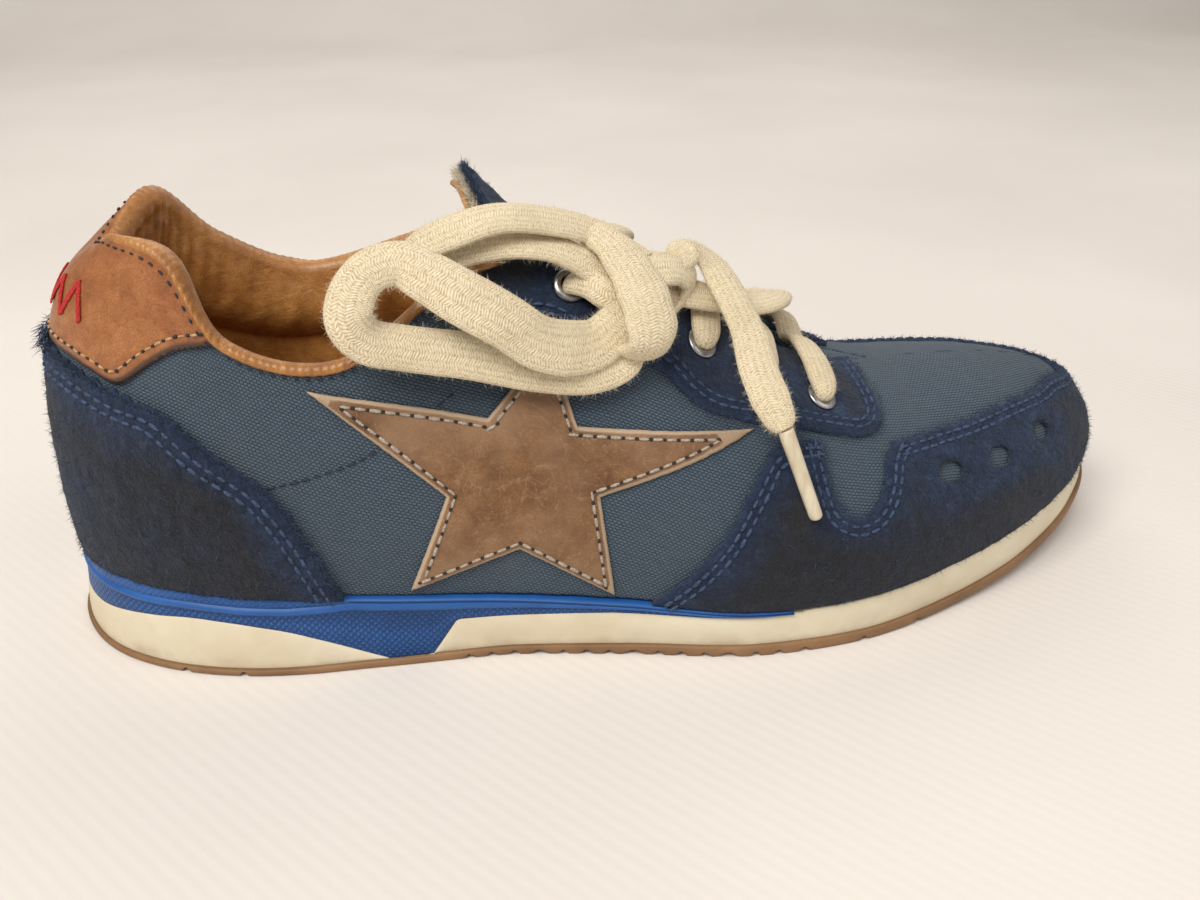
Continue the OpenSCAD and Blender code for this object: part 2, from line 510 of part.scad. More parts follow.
module aglet(from, toward) {
    d = unit(toward);
    color(cream) translate(size_it(from)) rotate([0, acos(d[2]), atan2(d[1], d[0])])
        translate([0, 0, 0.5]) cylinder(d = aglet_d, h = aglet_l, $fn = 24);
}
module aglet_lateral() { aglet(end_lat[len(end_lat) - 1], [7.6, -4, -20.4]); }
module aglet_medial() { aglet(end_med[len(end_med) - 1], [-1.5, 9.5, -18]); }

// ---- the zip on the medial side ----
// It runs in a straight line in its own frame: +X along the closing direction, +Z out of the shoe
zip_low = [18.05, 0.3];
zip_high = [19.2, 0.93];
zip_out = 1.6;      // the face of the tapes above the quarter
zip_spare = 14;     // room along the zip for the slider itself and the stops
zip_b = off(zip_high[0], zip_high[1], zip_out);
zip_x = unit(zip_b - off(zip_low[0], zip_low[1], zip_out));
zip_len = zip_travel + zip_spare;
zip_a = zip_b - zip_x * zip_len;
zip_n = last_normal(mix(zip_low[0], zip_high[0], 0.5), 0.6);
zip_y = unit(cross(zip_n, zip_x));
zip_z = cross(zip_x, zip_y);
tape_t = 0.5;
module in_zip() {
    multmatrix([[zip_x[0], zip_y[0], zip_z[0], zip_a[0]], [zip_x[1], zip_y[1], zip_z[1], zip_a[1]],
        [zip_x[2], zip_y[2], zip_z[2], zip_a[2]]]) children();
}
module zip_tapes() {
    color(navy) in_zip() for (side = [-1, 1])
        translate([0, side * (zip_w / 4 + 0.2) - (zip_w / 2 - 0.4) / 2, 0])
            cube([zip_len, zip_w / 2 - 0.4, tape_t]);
}
tooth_y = 1.5;
module zip_teeth() {
    count = floor((zip_len - 8) / tooth_pitch);
    color(nickel) in_zip() for (k = [0:count - 1], side = [-1, 1])
        translate([4 + k * tooth_pitch + (side > 0 ? tooth_pitch / 2 : 0), side * tooth_y / 2 - tooth_y / 2,
            tape_t + 0.05]) cube([tooth_pitch * 0.45, tooth_y, 0.9]);
}
module zip_stops() {
    color(nickel) in_zip() {
        translate([1, -2.2, tape_t + 0.05]) cube([2.2, 4.4, 1.1]);
        for (side = [-1, 1])
            translate([zip_len - 1.8, side * 1.8 - 0.8, tape_t + 0.05]) cube([1.5, 1.6, 1.1]);
    }
}
slider_l = 7;
slider_w = 6.4;
slider_x = zip_len - 2.4 - slider_l;
slider_z = tape_t + 1.3;
lug_h = 2.2;
pin_d = 1;
module zip_slider() {
    color(nickel) in_zip() translate([slider_x, 0, slider_z]) {
        linear_extrude(1) polygon([[0, -slider_w / 3], [slider_l, -slider_w / 2],
            [slider_l, slider_w / 2], [0, slider_w / 3]]);
        for (side = [-1, 1]) difference() {
            translate([slider_l / 2 - 1.4, side * 1.5 - 0.45, 1]) cube([2.8, 0.9, lug_h]);
            translate([slider_l / 2, side * 1.5 - 1, 1 + lug_h / 2]) rotate([-90, 0, 0])
                cylinder(d = pin_d + 0.2, h = 2, $fn = 20);
        }
    }
}
module zip_pull() {
    color(nickel) in_zip() translate([slider_x + slider_l / 2, 0, slider_z + 1 + lug_h / 2]) {
        translate([0, -2.1, 0]) rotate([-90, 0, 0]) cylinder(d = pin_d, h = 4.2, $fn = 20);
        difference() {
            translate([-pull_l, -0.85, -0.4]) cube([pull_l, 1.7, 0.8]);
            translate([-pull_l - 1, -2, -1]) cube([pull_l - 4, 4, 2]);
        }
        difference() {
            translate([-pull_l, -2.2, -0.4]) cube([pull_l - 3.6, 4.4, 0.8]);
            translate([-pull_l + 2.6, 0, -1]) cylinder(d = 2.2, h = 2, $fn = 20);
        }
    }
}

outsole();
midsole_heel();
midsole_frame();
midsole_forefoot();
insole_board();
footbed();
quarter_lateral();
quarter_medial();
vamp();
toe_mudguard();
heel_foxing();
heel_tab();
eyestay_lateral();
eyestay_medial();
star();
heel_counter();
toe_puff();
collar_foam();
lining_quarter();
lining_vamp();
topline_binding();
tongue_face();
tongue_foam();
tongue_lining();
eyelets_lateral();
eyelets_medial();
lace_crossings();
lace_knot();
lace_loop_near();
lace_loop_far();
lace_end_lateral();
lace_end_medial();
aglet_lateral();
aglet_medial();
zip_tapes();
zip_teeth();
zip_stops();
zip_slider();
zip_pull();
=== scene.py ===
import math

import bmesh
import bpy
import numpy as np
from mathutils import Matrix, Vector
from mathutils.geometry import delaunay_2d_cdt


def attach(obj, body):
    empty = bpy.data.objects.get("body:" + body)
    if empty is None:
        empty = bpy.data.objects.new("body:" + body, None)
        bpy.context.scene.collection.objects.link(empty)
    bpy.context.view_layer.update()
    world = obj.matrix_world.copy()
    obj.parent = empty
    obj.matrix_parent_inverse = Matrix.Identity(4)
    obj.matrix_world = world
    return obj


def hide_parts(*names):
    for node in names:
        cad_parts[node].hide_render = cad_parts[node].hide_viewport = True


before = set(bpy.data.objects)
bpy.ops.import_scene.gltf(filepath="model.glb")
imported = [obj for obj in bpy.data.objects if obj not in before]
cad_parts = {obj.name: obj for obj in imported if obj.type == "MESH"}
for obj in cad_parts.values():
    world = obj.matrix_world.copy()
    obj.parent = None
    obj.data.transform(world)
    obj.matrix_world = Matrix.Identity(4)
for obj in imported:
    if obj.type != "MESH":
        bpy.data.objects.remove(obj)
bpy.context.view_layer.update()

MM = 0.001

# ---- camera ----
cam_data = bpy.data.cameras.new("camera")
cam_data.sensor_width = 36
cam_data.lens = 30.255
cam_data.clip_start = 0.01
camera = bpy.data.objects.new("camera", cam_data)
bpy.context.scene.collection.objects.link(camera)
yaw, pitch, roll = -0.1225, 0.5155, -0.0072
ahead = Vector((-math.sin(yaw) * math.cos(pitch), math.cos(yaw) * math.cos(pitch), -math.sin(pitch)))
side = Vector((math.cos(yaw), math.sin(yaw), 0))
above = side.cross(ahead)
cam_x = math.cos(roll) * side + math.sin(roll) * above
cam_y = -math.sin(roll) * side + math.cos(roll) * above
turned = Matrix((cam_x, cam_y, -ahead)).transposed().to_4x4()
camera.matrix_world = Matrix.Translation((-0.03106, -0.21328, 0.15042)) @ turned
bpy.context.scene.camera = camera

# ---- the surface of the upper ----
# One row per station round the shoe: feather point x y z, top point x y z, and the handles of the
# profile between them, out and up from each end, in millimetres with x from the back of the heel
STATIONS = np.array([
    [2, -2, 20, 22, -2, 86, 1, 25, 17, -1],
    [8.5, -18, 20, 27, -13, 90, 2.5, 24, 10, -8],
    [22, -28.5, 20, 38, -23, 89, 2.5, 22, 5, -16],
    [42, -34.5, 19, 47, -29, 73, 1.5, 20, 4, -18],
    [70, -36, 16.5, 68, -30, 68.5, 2, 18, 5, -18],
    [97, -37, 14.7, 92, -20.5, 81.5, 1.5, 24, 9, -22],
    [123, -40, 12.8, 119, -11.5, 82, 1.5, 26, 14, -9],
    [150, -44, 10.6, 147, -10, 64, 2, 24, 18, -5],
    [176, -42.5, 11, 172, -5, 51.5, 2, 20, 20, -2],
    [200, -35, 13, 188, 1, 49, 2, 17, 20, -1],
    [222, -24, 15.5, 212, 5, 47.5, 2.5, 14, 17, -1],
    [241, -9, 17.5, 226, 7, 45.5, 2.5, 11, 13, -2],
    [252.5, 9, 18.5, 234, 8, 43.5, 2, 9, 9, -2.5],
    [243, 26, 18, 226, 7, 45.5, 2.5, 11, 13, -2],
    [222, 38, 16.5, 212, 5, 47.5, 2.5, 14, 18, -1],
    [196, 43, 14, 188, 1, 49, 2, 17, 22, -1],
    [168, 42, 12.5, 170, 8, 52.5, 1.5, 20, 18, -3],
    [138, 35, 14, 143, 12, 66, 0, 24, 13, -7],
    [106, 27, 16, 115, 14.5, 82, -0.5, 26, 9, -14],
    [74, 26, 17, 88, 23, 79, 1, 22, 5, -20],
    [42, 29, 19, 56, 28, 70, 2, 20, 4, -16],
    [21, 25, 20, 37, 23.5, 79, 3, 22, 5, -18],
    [8, 14, 20, 27, 15, 92, 2.5, 24, 10, -10],
], float)
ROUND = len(STATIONS)
RIDGE_LAT, RIDGE_MED, TOE = 9, 15, 12
MID_X = 127
ACROSS = RIDGE_LAT + RIDGE_MED     # a station and its partner on the other side of the toes add up to this


def cubic(a, b, c, d, u):
    return 0.5 * (2 * b + (c - a) * u + (2 * a - 5 * b + 4 * c - d) * u * u + (3 * b - a - 3 * c + d) * u ** 3)


def station_values(s, lo, hi):
    i = np.floor(s).astype(int)
    u = (s - i)[..., None]
    return cubic(*[STATIONS[(i + k) % ROUND, lo:hi] for k in (-1, 0, 1, 2)], u)


def rim_values(s):
    i = np.floor(s).astype(int)
    u = (s - i)[..., None]
    w = i % ROUND
    rows = []
    for k in (-1, 0, 1, 2):
        j = w + k
        j = np.where(w < RIDGE_LAT, np.minimum(j, RIDGE_LAT),
                     np.where(w >= RIDGE_MED, np.maximum(j, RIDGE_MED), np.clip(j, RIDGE_LAT, RIDGE_MED)))
        rows.append(STATIONS[j % ROUND, 3:6])
    return cubic(*rows, u)


def plan_out(s):
    d = station_values(s + 0.05, 0, 2) - station_values(s - 0.05, 0, 2)
    n = np.stack([d[..., 1], -d[..., 0], np.zeros(s.shape)], -1)
    return n / np.linalg.norm(n, axis=-1, keepdims=True)


def last(s, t):
    """A point of the upper's surface in millimetres in the part's frame: s round the shoe, t up the profile."""
    s, t = np.broadcast_arrays(np.asarray(s, float), np.asarray(t, float))
    b, top, k = station_values(s, 0, 3), rim_values(s), station_values(s, 6, 10)
    n = plan_out(s)
    up = np.array([0, 0, 1.0])
    p1 = b + n * k[..., 0:1] + up * k[..., 1:2]
    p2 = top + n * k[..., 2:3] + up * k[..., 3:4]
    q = t[..., None]
    m = 1 - q
    return m ** 3 * b + 3 * m * m * q * p1 + 3 * m * q * q * p2 + q ** 3 * top - np.array([MID_X, 0, 0])


def outward(s, t):
    s, t = np.broadcast_arrays(np.asarray(s, float), np.asarray(t, float))
    e = 0.02
    n = np.cross(last(s + e, t) - last(s - e, t), last(s, np.minimum(t + e, 1)) - last(s, np.maximum(t - e, 0)))
    return n / np.linalg.norm(n, axis=-1, keepdims=True)


def off(s, t, d):
    s, t = np.broadcast_arrays(np.asarray(s, float), np.asarray(t, float))
    return last(s, t) + outward(s, t) * np.broadcast_to(np.asarray(d, float), s.shape)[..., None]


# Lengths along the surface, for weave and grain that follow it
S_TAB = np.arange(-8, ROUND + 8.01, 0.1)
T_TAB = np.linspace(0, 1, 41)
run = last(S_TAB, 0.4)
U_TAB = np.concatenate([[0], np.cumsum(np.linalg.norm(np.diff(run, axis=0), axis=1))])
climb = last(S_TAB[:, None], T_TAB[None, :])
V_TAB = np.concatenate([np.zeros((len(S_TAB), 1)), np.cumsum(np.linalg.norm(np.diff(climb, axis=1), axis=2), 1)], 1)


def surface_uv(s, t):
    """Millimetres along and up the surface."""
    s, t = np.broadcast_arrays(np.asarray(s, float), np.asarray(t, float))
    u = np.interp(s, S_TAB, U_TAB)
    fs = np.clip((s - S_TAB[0]) / 0.1, 0, len(S_TAB) - 1.001)
    ft = np.clip(t, 0, 1) * (len(T_TAB) - 1) * 0.99999
    i, j = fs.astype(int), ft.astype(int)
    a, b = fs - i, ft - j
    v = (V_TAB[i, j] * (1 - a) * (1 - b) + V_TAB[i + 1, j] * a * (1 - b)
         + V_TAB[i, j + 1] * (1 - a) * b + V_TAB[i + 1, j + 1] * a * b)
    return u, v


def ripple(u, v, size, seed):
    """A smooth unevenness between -1 and 1, with features about size long."""
    r = np.random.default_rng(seed)
    total = np.zeros(np.shape(u))
    for _ in range(7):
        a, f, p = r.uniform(0, math.pi), r.uniform(0.6, 1.6) * 2 * math.pi / size, r.uniform(0, 6.28)
        total = total + np.sin((np.cos(a) * u + np.sin(a) * v) * f + p)
    return total / 4


# ---- making meshes ----
def new_piece(name, verts, faces, mat, uv=None, attrs=None, smooth=True):
    """verts in millimetres; uv is one pair a vertex, attrs are named numbers, one a vertex."""
    me = bpy.data.meshes.new(name)
    me.from_pydata([tuple(v) for v in np.asarray(verts) * MM], [], [tuple(int(i) for i in f) for f in faces])
    if uv is not None:
        layer = me.uv_layers.new(name="UVMap")
        idx = np.zeros(len(me.loops), int)
        me.loops.foreach_get("vertex_index", idx)
        layer.data.foreach_set("uv", np.asarray(uv, np.float32)[idx].ravel())
    for key, vals in (attrs or {}).items():
        a = me.attributes.new(key, "FLOAT", "POINT")
        a.data.foreach_set("value", np.asarray(vals, np.float32))
    me.shade_smooth() if smooth else me.shade_flat()
    me.materials.append(mat)
    ob = bpy.data.objects.new(name, me)
    bpy.context.scene.collection.objects.link(ob)
    return ob


def facing_out(ob):
    """Turns all the faces of a closed piece outward."""
    bm = bmesh.new()
    bm.from_mesh(ob.data)
    bmesh.ops.recalc_face_normals(bm, faces=bm.faces)
    bm.to_mesh(ob.data)
    bm.free()
    return ob


def edge_numbers(ob, values):
    """How far each point is from a cut edge, for pieces that aren't panels."""
    layer = ob.data.attributes.new("edge_mm", "FLOAT", "POINT")
    layer.data.foreach_set("value", np.asarray(values, np.float32))


def in_pieces(test):
    """Runs a test on the points in batches, so that long outlines fit in memory."""
    return lambda p, poly: (np.concatenate([test(q, poly) for q in np.array_split(p, len(p) // 3000 + 1)])
                            if len(p) else test(p, poly))


@in_pieces
def in_outline(p, poly):
    """Which of the points p are inside the closed polygon."""
    x, y = p[:, 0][:, None], p[:, 1][:, None]
    x0, y0 = poly[:, 0][None], poly[:, 1][None]
    x1, y1 = np.roll(poly[:, 0], -1)[None], np.roll(poly[:, 1], -1)[None]
    dy = np.where(np.abs(y1 - y0) < 1e-12, 1e-12, y1 - y0)
    hit = ((y0 > y) != (y1 > y)) & (x < (x1 - x0) * (y - y0) / dy + x0)
    return hit.sum(1) % 2 == 1


@in_pieces
def edge_distance(p, poly):
    a, b = poly[None], np.roll(poly, -1, 0)[None]
    ab = b - a
    k = np.clip(((p[:, None] - a) * ab).sum(-1) / np.maximum((ab * ab).sum(-1), 1e-12), 0, 1)
    return np.sqrt((((a + ab * k[..., None]) - p[:, None]) ** 2).sum(-1)).min(1)


@in_pieces
def cut_distance(p, points):
    return np.sqrt(((p[:, None] - points[None]) ** 2).sum(-1).min(1)) if len(points) else np.full(len(p), 99.0)


FLAT = np.array([17.0, 48.0])      # roughly millimetres for one station and for the whole profile


def resample(points, step, closed=True):
    p = np.asarray(points, float)
    if closed:
        p = np.vstack([p, p[:1]])
    out = []
    for a, b in zip(p[:-1], p[1:]):
        n = max(1, int(round(np.linalg.norm(b - a) / step)))
        out += [a + (b - a) * k / n for k in range(n)]
    if not closed:
        out.append(p[-1])
    return np.array(out)


def rounded(points, steps=6, closed=False):
    """A smooth curve through the points."""
    p = np.asarray(points, float)
    n = len(p)
    out = []
    for i in range(n if closed else n - 1):
        idx = [(i + k) % n if closed else min(max(i + k, 0), n - 1) for k in (-1, 0, 1, 2)]
        a, b, c, d = p[idx]
        # centripetal spacing keeps tight corners from looping
        t0, t1 = 0.0, max(np.linalg.norm((b - a) * FLAT[:len(a)] if len(a) == 2 else b - a), 1e-6) ** 0.5
        t2 = t1 + max(np.linalg.norm((c - b) * FLAT[:len(a)] if len(a) == 2 else c - b), 1e-6) ** 0.5
        t3 = t2 + max(np.linalg.norm((d - c) * FLAT[:len(a)] if len(a) == 2 else d - c), 1e-6) ** 0.5
        for k in range(steps):
            t = t1 + (t2 - t1) * k / steps
            a1 = (t1 - t) / (t1 - t0) * a + (t - t0) / (t1 - t0) * b
            a2 = (t2 - t) / (t2 - t1) * b + (t - t1) / (t2 - t1) * c
            a3 = (t3 - t) / (t3 - t2) * c + (t - t2) / (t3 - t2) * d
            b1 = (t2 - t) / (t2 - t0) * a1 + (t - t0) / (t2 - t0) * a2
            b2 = (t3 - t) / (t3 - t1) * a2 + (t - t1) / (t3 - t1) * a3
            out.append((t2 - t) / (t2 - t1) * b1 + (t - t1) / (t2 - t1) * b2)
    if not closed:
        out.append(p[-1])
    return np.array(out)


def panel(name, outline, d0, d1, mat, step=1.3, holes=(), round_off=0.9, rough=0.0, wave=0.0, seed=1, clump=0.0,
          outline_open=True):
    """A layer of the upper cut to an outline of (station, height) pairs, between two distances from the surface.
    Its cut edge is rounded over round_off millimetres and may be ragged by rough."""
    ring = resample(np.asarray(outline) * FLAT, 0.65)
    if rough:
        nxt, prv = np.roll(ring, -1, 0), np.roll(ring, 1, 0)
        tang = nxt - prv
        nrm = np.stack([tang[:, 1], -tang[:, 0]], 1) / np.maximum(np.linalg.norm(tang, axis=1, keepdims=True), 1e-9)
        r = np.random.default_rng(seed)
        amount = rough * (ripple(ring[:, 0] * 1.7, ring[:, 1] * 1.7, 5, seed) * 0.7 + r.uniform(-0.5, 0.5, len(ring)))
        keep = (ring[:, 1] > 2.0) & (ring[:, 1] < FLAT[1] * 0.985)
        ring = ring + nrm * (amount * keep)[:, None]
    rings = [ring] + [resample(np.asarray(h) * FLAT, 0.65) for h in holes]
    lo, hi = ring.min(0), ring.max(0)
    gx, gy = np.meshgrid(np.arange(lo[0], hi[0], step), np.arange(lo[1], hi[1], step * 0.92))
    gx[1::2] += step / 2
    inner = np.stack([gx.ravel(), gy.ravel()], 1)
    for r_i, r_ in enumerate(rings):
        inside = in_outline(inner, r_)
        inner = inner[inside if r_i == 0 else ~inside]
    near = np.min([edge_distance(inner, r_) for r_ in rings], axis=0)
    inner = inner[near > 0.75]
    # a second line of points just inside the cut, so that the rounded edge has a shape
    second = []
    for r_i, r_ in enumerate(rings):
        tang = np.roll(r_, -1, 0) - np.roll(r_, 1, 0)
        nrm = np.stack([-tang[:, 1], tang[:, 0]], 1) / np.maximum(np.linalg.norm(tang, axis=1, keepdims=True), 1e-9)
        for sign in (1, -1):
            q = r_ + nrm * sign * 0.38
            ok = in_outline(q, ring) if r_i == 0 else ~in_outline(q, r_)
            d = np.min([edge_distance(q, x) for x in rings], axis=0)
            second.append(q[ok & (d > 0.3)])
    pts = np.vstack(rings + second + [inner])
    edges, start = [], 0
    for r_ in rings:
        n = len(r_)
        edges += [(start + k, start + (k + 1) % n) for k in range(n)]
        start += n
    out, _, tris, *_ = delaunay_2d_cdt([Vector(p) for p in pts], edges, [], 0, 1e-5)
    flat = np.array([tuple(v) for v in out])
    tris = np.array(tris)
    mid = flat[tris].mean(1)
    keep = in_outline(mid, ring)
    for h in rings[1:]:
        keep &= ~in_outline(mid, h)
    tris = tris[keep]
    a, b, c = flat[tris[:, 0]], flat[tris[:, 1]], flat[tris[:, 2]]
    turn = (b[:, 0] - a[:, 0]) * (c[:, 1] - a[:, 1]) - (b[:, 1] - a[:, 1]) * (c[:, 0] - a[:, 0])
    tris = np.where((turn > 0)[:, None], tris, tris[:, ::-1])
    used = np.unique(tris)
    remap = -np.ones(len(flat), int)
    remap[used] = np.arange(len(used))
    tris, flat = remap[tris], flat[used]
    # the lasted edge at the bottom and the ridge over the toes aren't cut edges
    cuts = np.vstack([r_[(r_[:, 1] > FLAT[1] * 0.025) & (r_[:, 1] < FLAT[1] * 0.985)] for r_ in rings])
    if outline_open:
        dist = cut_distance(flat, cuts)
    else:
        dist = np.min([edge_distance(flat, r_) for r_ in rings], axis=0)
    st = flat / FLAT
    s, t = st[:, 0], np.clip(st[:, 1], 0, 1)
    u, v = surface_uv(s, t)
    k = np.clip(dist / round_off, 0, 1)
    top = d1 - (d1 - d0) * 0.55 * (1 - np.sqrt(1 - (1 - k) ** 2))
    if wave:
        top = top + wave * ripple(u, v, 9, seed + 5) * np.clip(dist / 3, 0.15, 1)
    if clump:
        top = top + clump * (ripple(u, v, 2.6, seed + 9) + ripple(u, v, 4.5, seed + 8)) * np.clip(dist / 1.5, 0.2, 1)
    upper = off(s, t, top)
    lower = off(s, t, d0)
    n = len(flat)
    count = {}
    for tri in tris:
        for e in ((tri[0], tri[1]), (tri[1], tri[2]), (tri[2], tri[0])):
            count[e] = count.get(e, 0) + 1
    on_ridge = (t > 0.9995) & (s > RIDGE_LAT - 0.01) & (s < RIDGE_MED + 0.01)
    border = [e for e in count if (e[1], e[0]) not in count and not (on_ridge[e[0]] and on_ridge[e[1]])]
    faces = [tuple(f) for f in tris] + [tuple(f[::-1] + n) for f in tris]
    faces += [(e[1], e[0], e[0] + n, e[1] + n) for e in border]
    tops = np.concatenate([dist, np.full(n, -1.0)])
    return new_piece(name, np.vstack([upper, lower]), faces, mat, np.vstack([np.stack([u, v], 1)] * 2),
                     {"edge_mm": tops, "height": np.concatenate([t, t])})


def strip(name, s, t, outer, inner, mat):
    """A closed layer over a grid of stations and heights; outer and inner are distances from the surface."""
    s, t = np.broadcast_arrays(s, t)
    a, b = off(s, t, outer), off(s, t, inner)
    return grid_shell(name, a, b, mat, np.stack(surface_uv(s, t), -1))


def grid_shell(name, a, b, mat, uv):
    nr, nc = a.shape[:2]
    n = nr * nc
    at = np.arange(n).reshape(nr, nc)
    q = np.stack([at[:-1, :-1], at[:-1, 1:], at[1:, 1:], at[1:, :-1]], -1).reshape(-1, 4)
    v0 = a.reshape(-1, 3)
    cross = np.cross(v0[q[0, 1]] - v0[q[0, 0]], v0[q[0, 3]] - v0[q[0, 0]])
    probe = (a - b)[0, 0]
    if np.dot(cross, probe) < 0:
        q = q[:, ::-1]
    faces = [tuple(f) for f in q] + [tuple(f[::-1] + n) for f in q]
    count = set()
    for f in q:
        for k in range(4):
            count.add((f[k], f[(k + 1) % 4]))
    faces += [(e[1], e[0], e[0] + n, e[1] + n) for e in count if (e[1], e[0]) not in count]
    return new_piece(name, np.vstack([v0, b.reshape(-1, 3)]), faces, mat, np.vstack([uv.reshape(-1, 2)] * 2))


def tube(name, path, guides, width, thick, mat, sides=20, flat=0.0):
    """A closed flattened tube round a path in millimetres; width and thick may be one number or one a point."""
    p = np.asarray(path, float)
    n = len(p)
    tang = np.gradient(p, axis=0)
    tang /= np.linalg.norm(tang, axis=1, keepdims=True)
    g = np.asarray(guides, float)
    across = np.cross(tang, g)
    across /= np.linalg.norm(across, axis=1, keepdims=True)
    over = np.cross(across, tang)
    w = np.broadcast_to(width, n)[:, None, None] / 2
    h = np.broadcast_to(thick, n)[:, None, None] / 2
    ang = np.linspace(0, 2 * math.pi, sides, endpoint=False)
    ca, sa = np.cos(ang), np.sin(ang)
    ex = 1 - flat
    cx = np.sign(ca) * np.abs(ca) ** ex
    sx = np.sign(sa) * np.abs(sa) ** ex
    verts = p[:, None] + across[:, None] * cx[None, :, None] * w + over[:, None] * sx[None, :, None] * h
    run_ = np.concatenate([[0], np.cumsum(np.linalg.norm(np.diff(p, axis=0), axis=1))])
    at = np.arange(n * sides).reshape(n, sides)
    q = np.stack([at[:-1], np.roll(at[:-1], -1, 1), np.roll(at[1:], -1, 1), at[1:]], -1).reshape(-1, 4)
    flatv = verts.reshape(-1, 3)
    c = np.cross(flatv[q[0, 1]] - flatv[q[0, 0]], flatv[q[0, 3]] - flatv[q[0, 0]])
    if np.dot(c, flatv[q[0, 0]] - p[0]) < 0:
        q = q[:, ::-1]
    first, final = list(at[0]), list(at[-1])
    c = np.cross(flatv[first[1]] - flatv[first[0]], flatv[first[2]] - flatv[first[0]])
    turned_in = np.dot(c, tang[0]) > 0
    faces = [tuple(f) for f in q]
    faces += [tuple(first[::-1] if turned_in else first), tuple(final if turned_in else final[::-1])]
    me = bpy.data.meshes.new(name)
    me.from_pydata([tuple(v) for v in flatv * MM], [], [tuple(int(i) for i in f) for f in faces])
    layer = me.uv_layers.new(name="UVMap")
    girth = float(2 * (w.mean() + h.mean()) * 1.1)
    uvs = np.zeros((len(me.loops), 2), np.float32)
    for poly in me.polygons:
        vi = [me.loops[k].vertex_index for k in poly.loop_indices]
        cols = [i % sides for i in vi]
        wrapv = max(cols) - min(cols) > sides / 2
        for k, i in zip(poly.loop_indices, vi):
            col = i % sides
            uvs[k] = ((col + (sides if wrapv and col < sides / 2 else 0)) / sides * girth, run_[i // sides])
    layer.data.foreach_set("uv", uvs.ravel())
    me.shade_smooth()
    me.materials.append(mat)
    ob = bpy.data.objects.new(name, me)
    bpy.context.scene.collection.objects.link(ob)
    return ob


# ---- materials ----
class Finish:
    """A node material: add(...) adds a node and links or sets its inputs."""

    def __init__(self, name, **shader):
        self.mat = bpy.data.materials.new(name)
        self.mat.use_nodes = True
        self.tree = self.mat.node_tree
        self.bsdf = self.tree.nodes["Principled BSDF"]
        for key, value in shader.items():
            self.bsdf.inputs[key.replace("_", " ")].default_value = value

    def add(self, kind, inputs=None, out=0, **props):
        node = self.tree.nodes.new("ShaderNode" + kind)
        for key, value in props.items():
            setattr(node, key, value)
        for key, value in (inputs or {}).items():
            if value is None:
                continue
            if isinstance(value, bpy.types.NodeSocket):
                self.tree.links.new(value, node.inputs[key])
            else:
                node.inputs[key].default_value = value
        return node.outputs[out]

    def math(self, op, a, b=None, c=None):
        return self.add("Math", {0: a, 1: b, 2: c}, operation=op)

    def noise(self, scale, detail=3, vector=None, rough=0.5, distort=0.0):
        return self.add("TexNoise", {"Vector": vector or self.place(), "Scale": scale, "Detail": detail,
                                     "Roughness": rough, "Distortion": distort})

    def place(self):
        return self.add("TexCoord", out=3)

    def uv(self):
        return self.add("TexCoord", out=2)

    def stretch(self, vector, sx, sy, sz):
        return self.add("Mapping", {"Vector": vector, "Scale": (sx, sy, sz)})

    def ramp(self, value, stops):
        node = self.tree.nodes.new("ShaderNodeValToRGB")
        ramp = node.color_ramp
        while len(ramp.elements) < len(stops):
            ramp.elements.new(0.5)
        for e, (pos, col) in zip(ramp.elements, stops):
            e.position = pos
            e.color = (*col, 1) if len(col) == 3 else col
        self.tree.links.new(value, node.inputs[0])
        return node.outputs[0]

    def band(self, value, lo, hi, a=0.0, b=1.0):
        return self.add("MapRange", {"Value": value, "From Min": lo, "From Max": hi, "To Min": a, "To Max": b})

    def mix(self, fac, a, b, blend="MIX"):
        node = self.tree.nodes.new("ShaderNodeMix")
        node.data_type = "RGBA"
        node.blend_type = blend
        for key, value in ((0, fac), (6, a), (7, b)):
            if isinstance(value, bpy.types.NodeSocket):
                self.tree.links.new(value, node.inputs[key])
            else:
                node.inputs[key].default_value = (*value, 1) if isinstance(value, tuple) and len(value) == 3 else value
        return node.outputs[2]

    def attribute(self, name):
        return self.add("Attribute", out=2, attribute_name=name)

    def bump(self, height, strength, distance=0.0005, under=None):
        return self.add("Bump", {"Height": height, "Strength": strength, "Distance": distance, "Normal": under})

    def finish(self, color=None, rough=None, normal=None):
        for key, value in (("Base Color", color), ("Roughness", rough), ("Normal", normal)):
            if value is not None:
                self.tree.links.new(value, self.bsdf.inputs[key])
        return self.mat


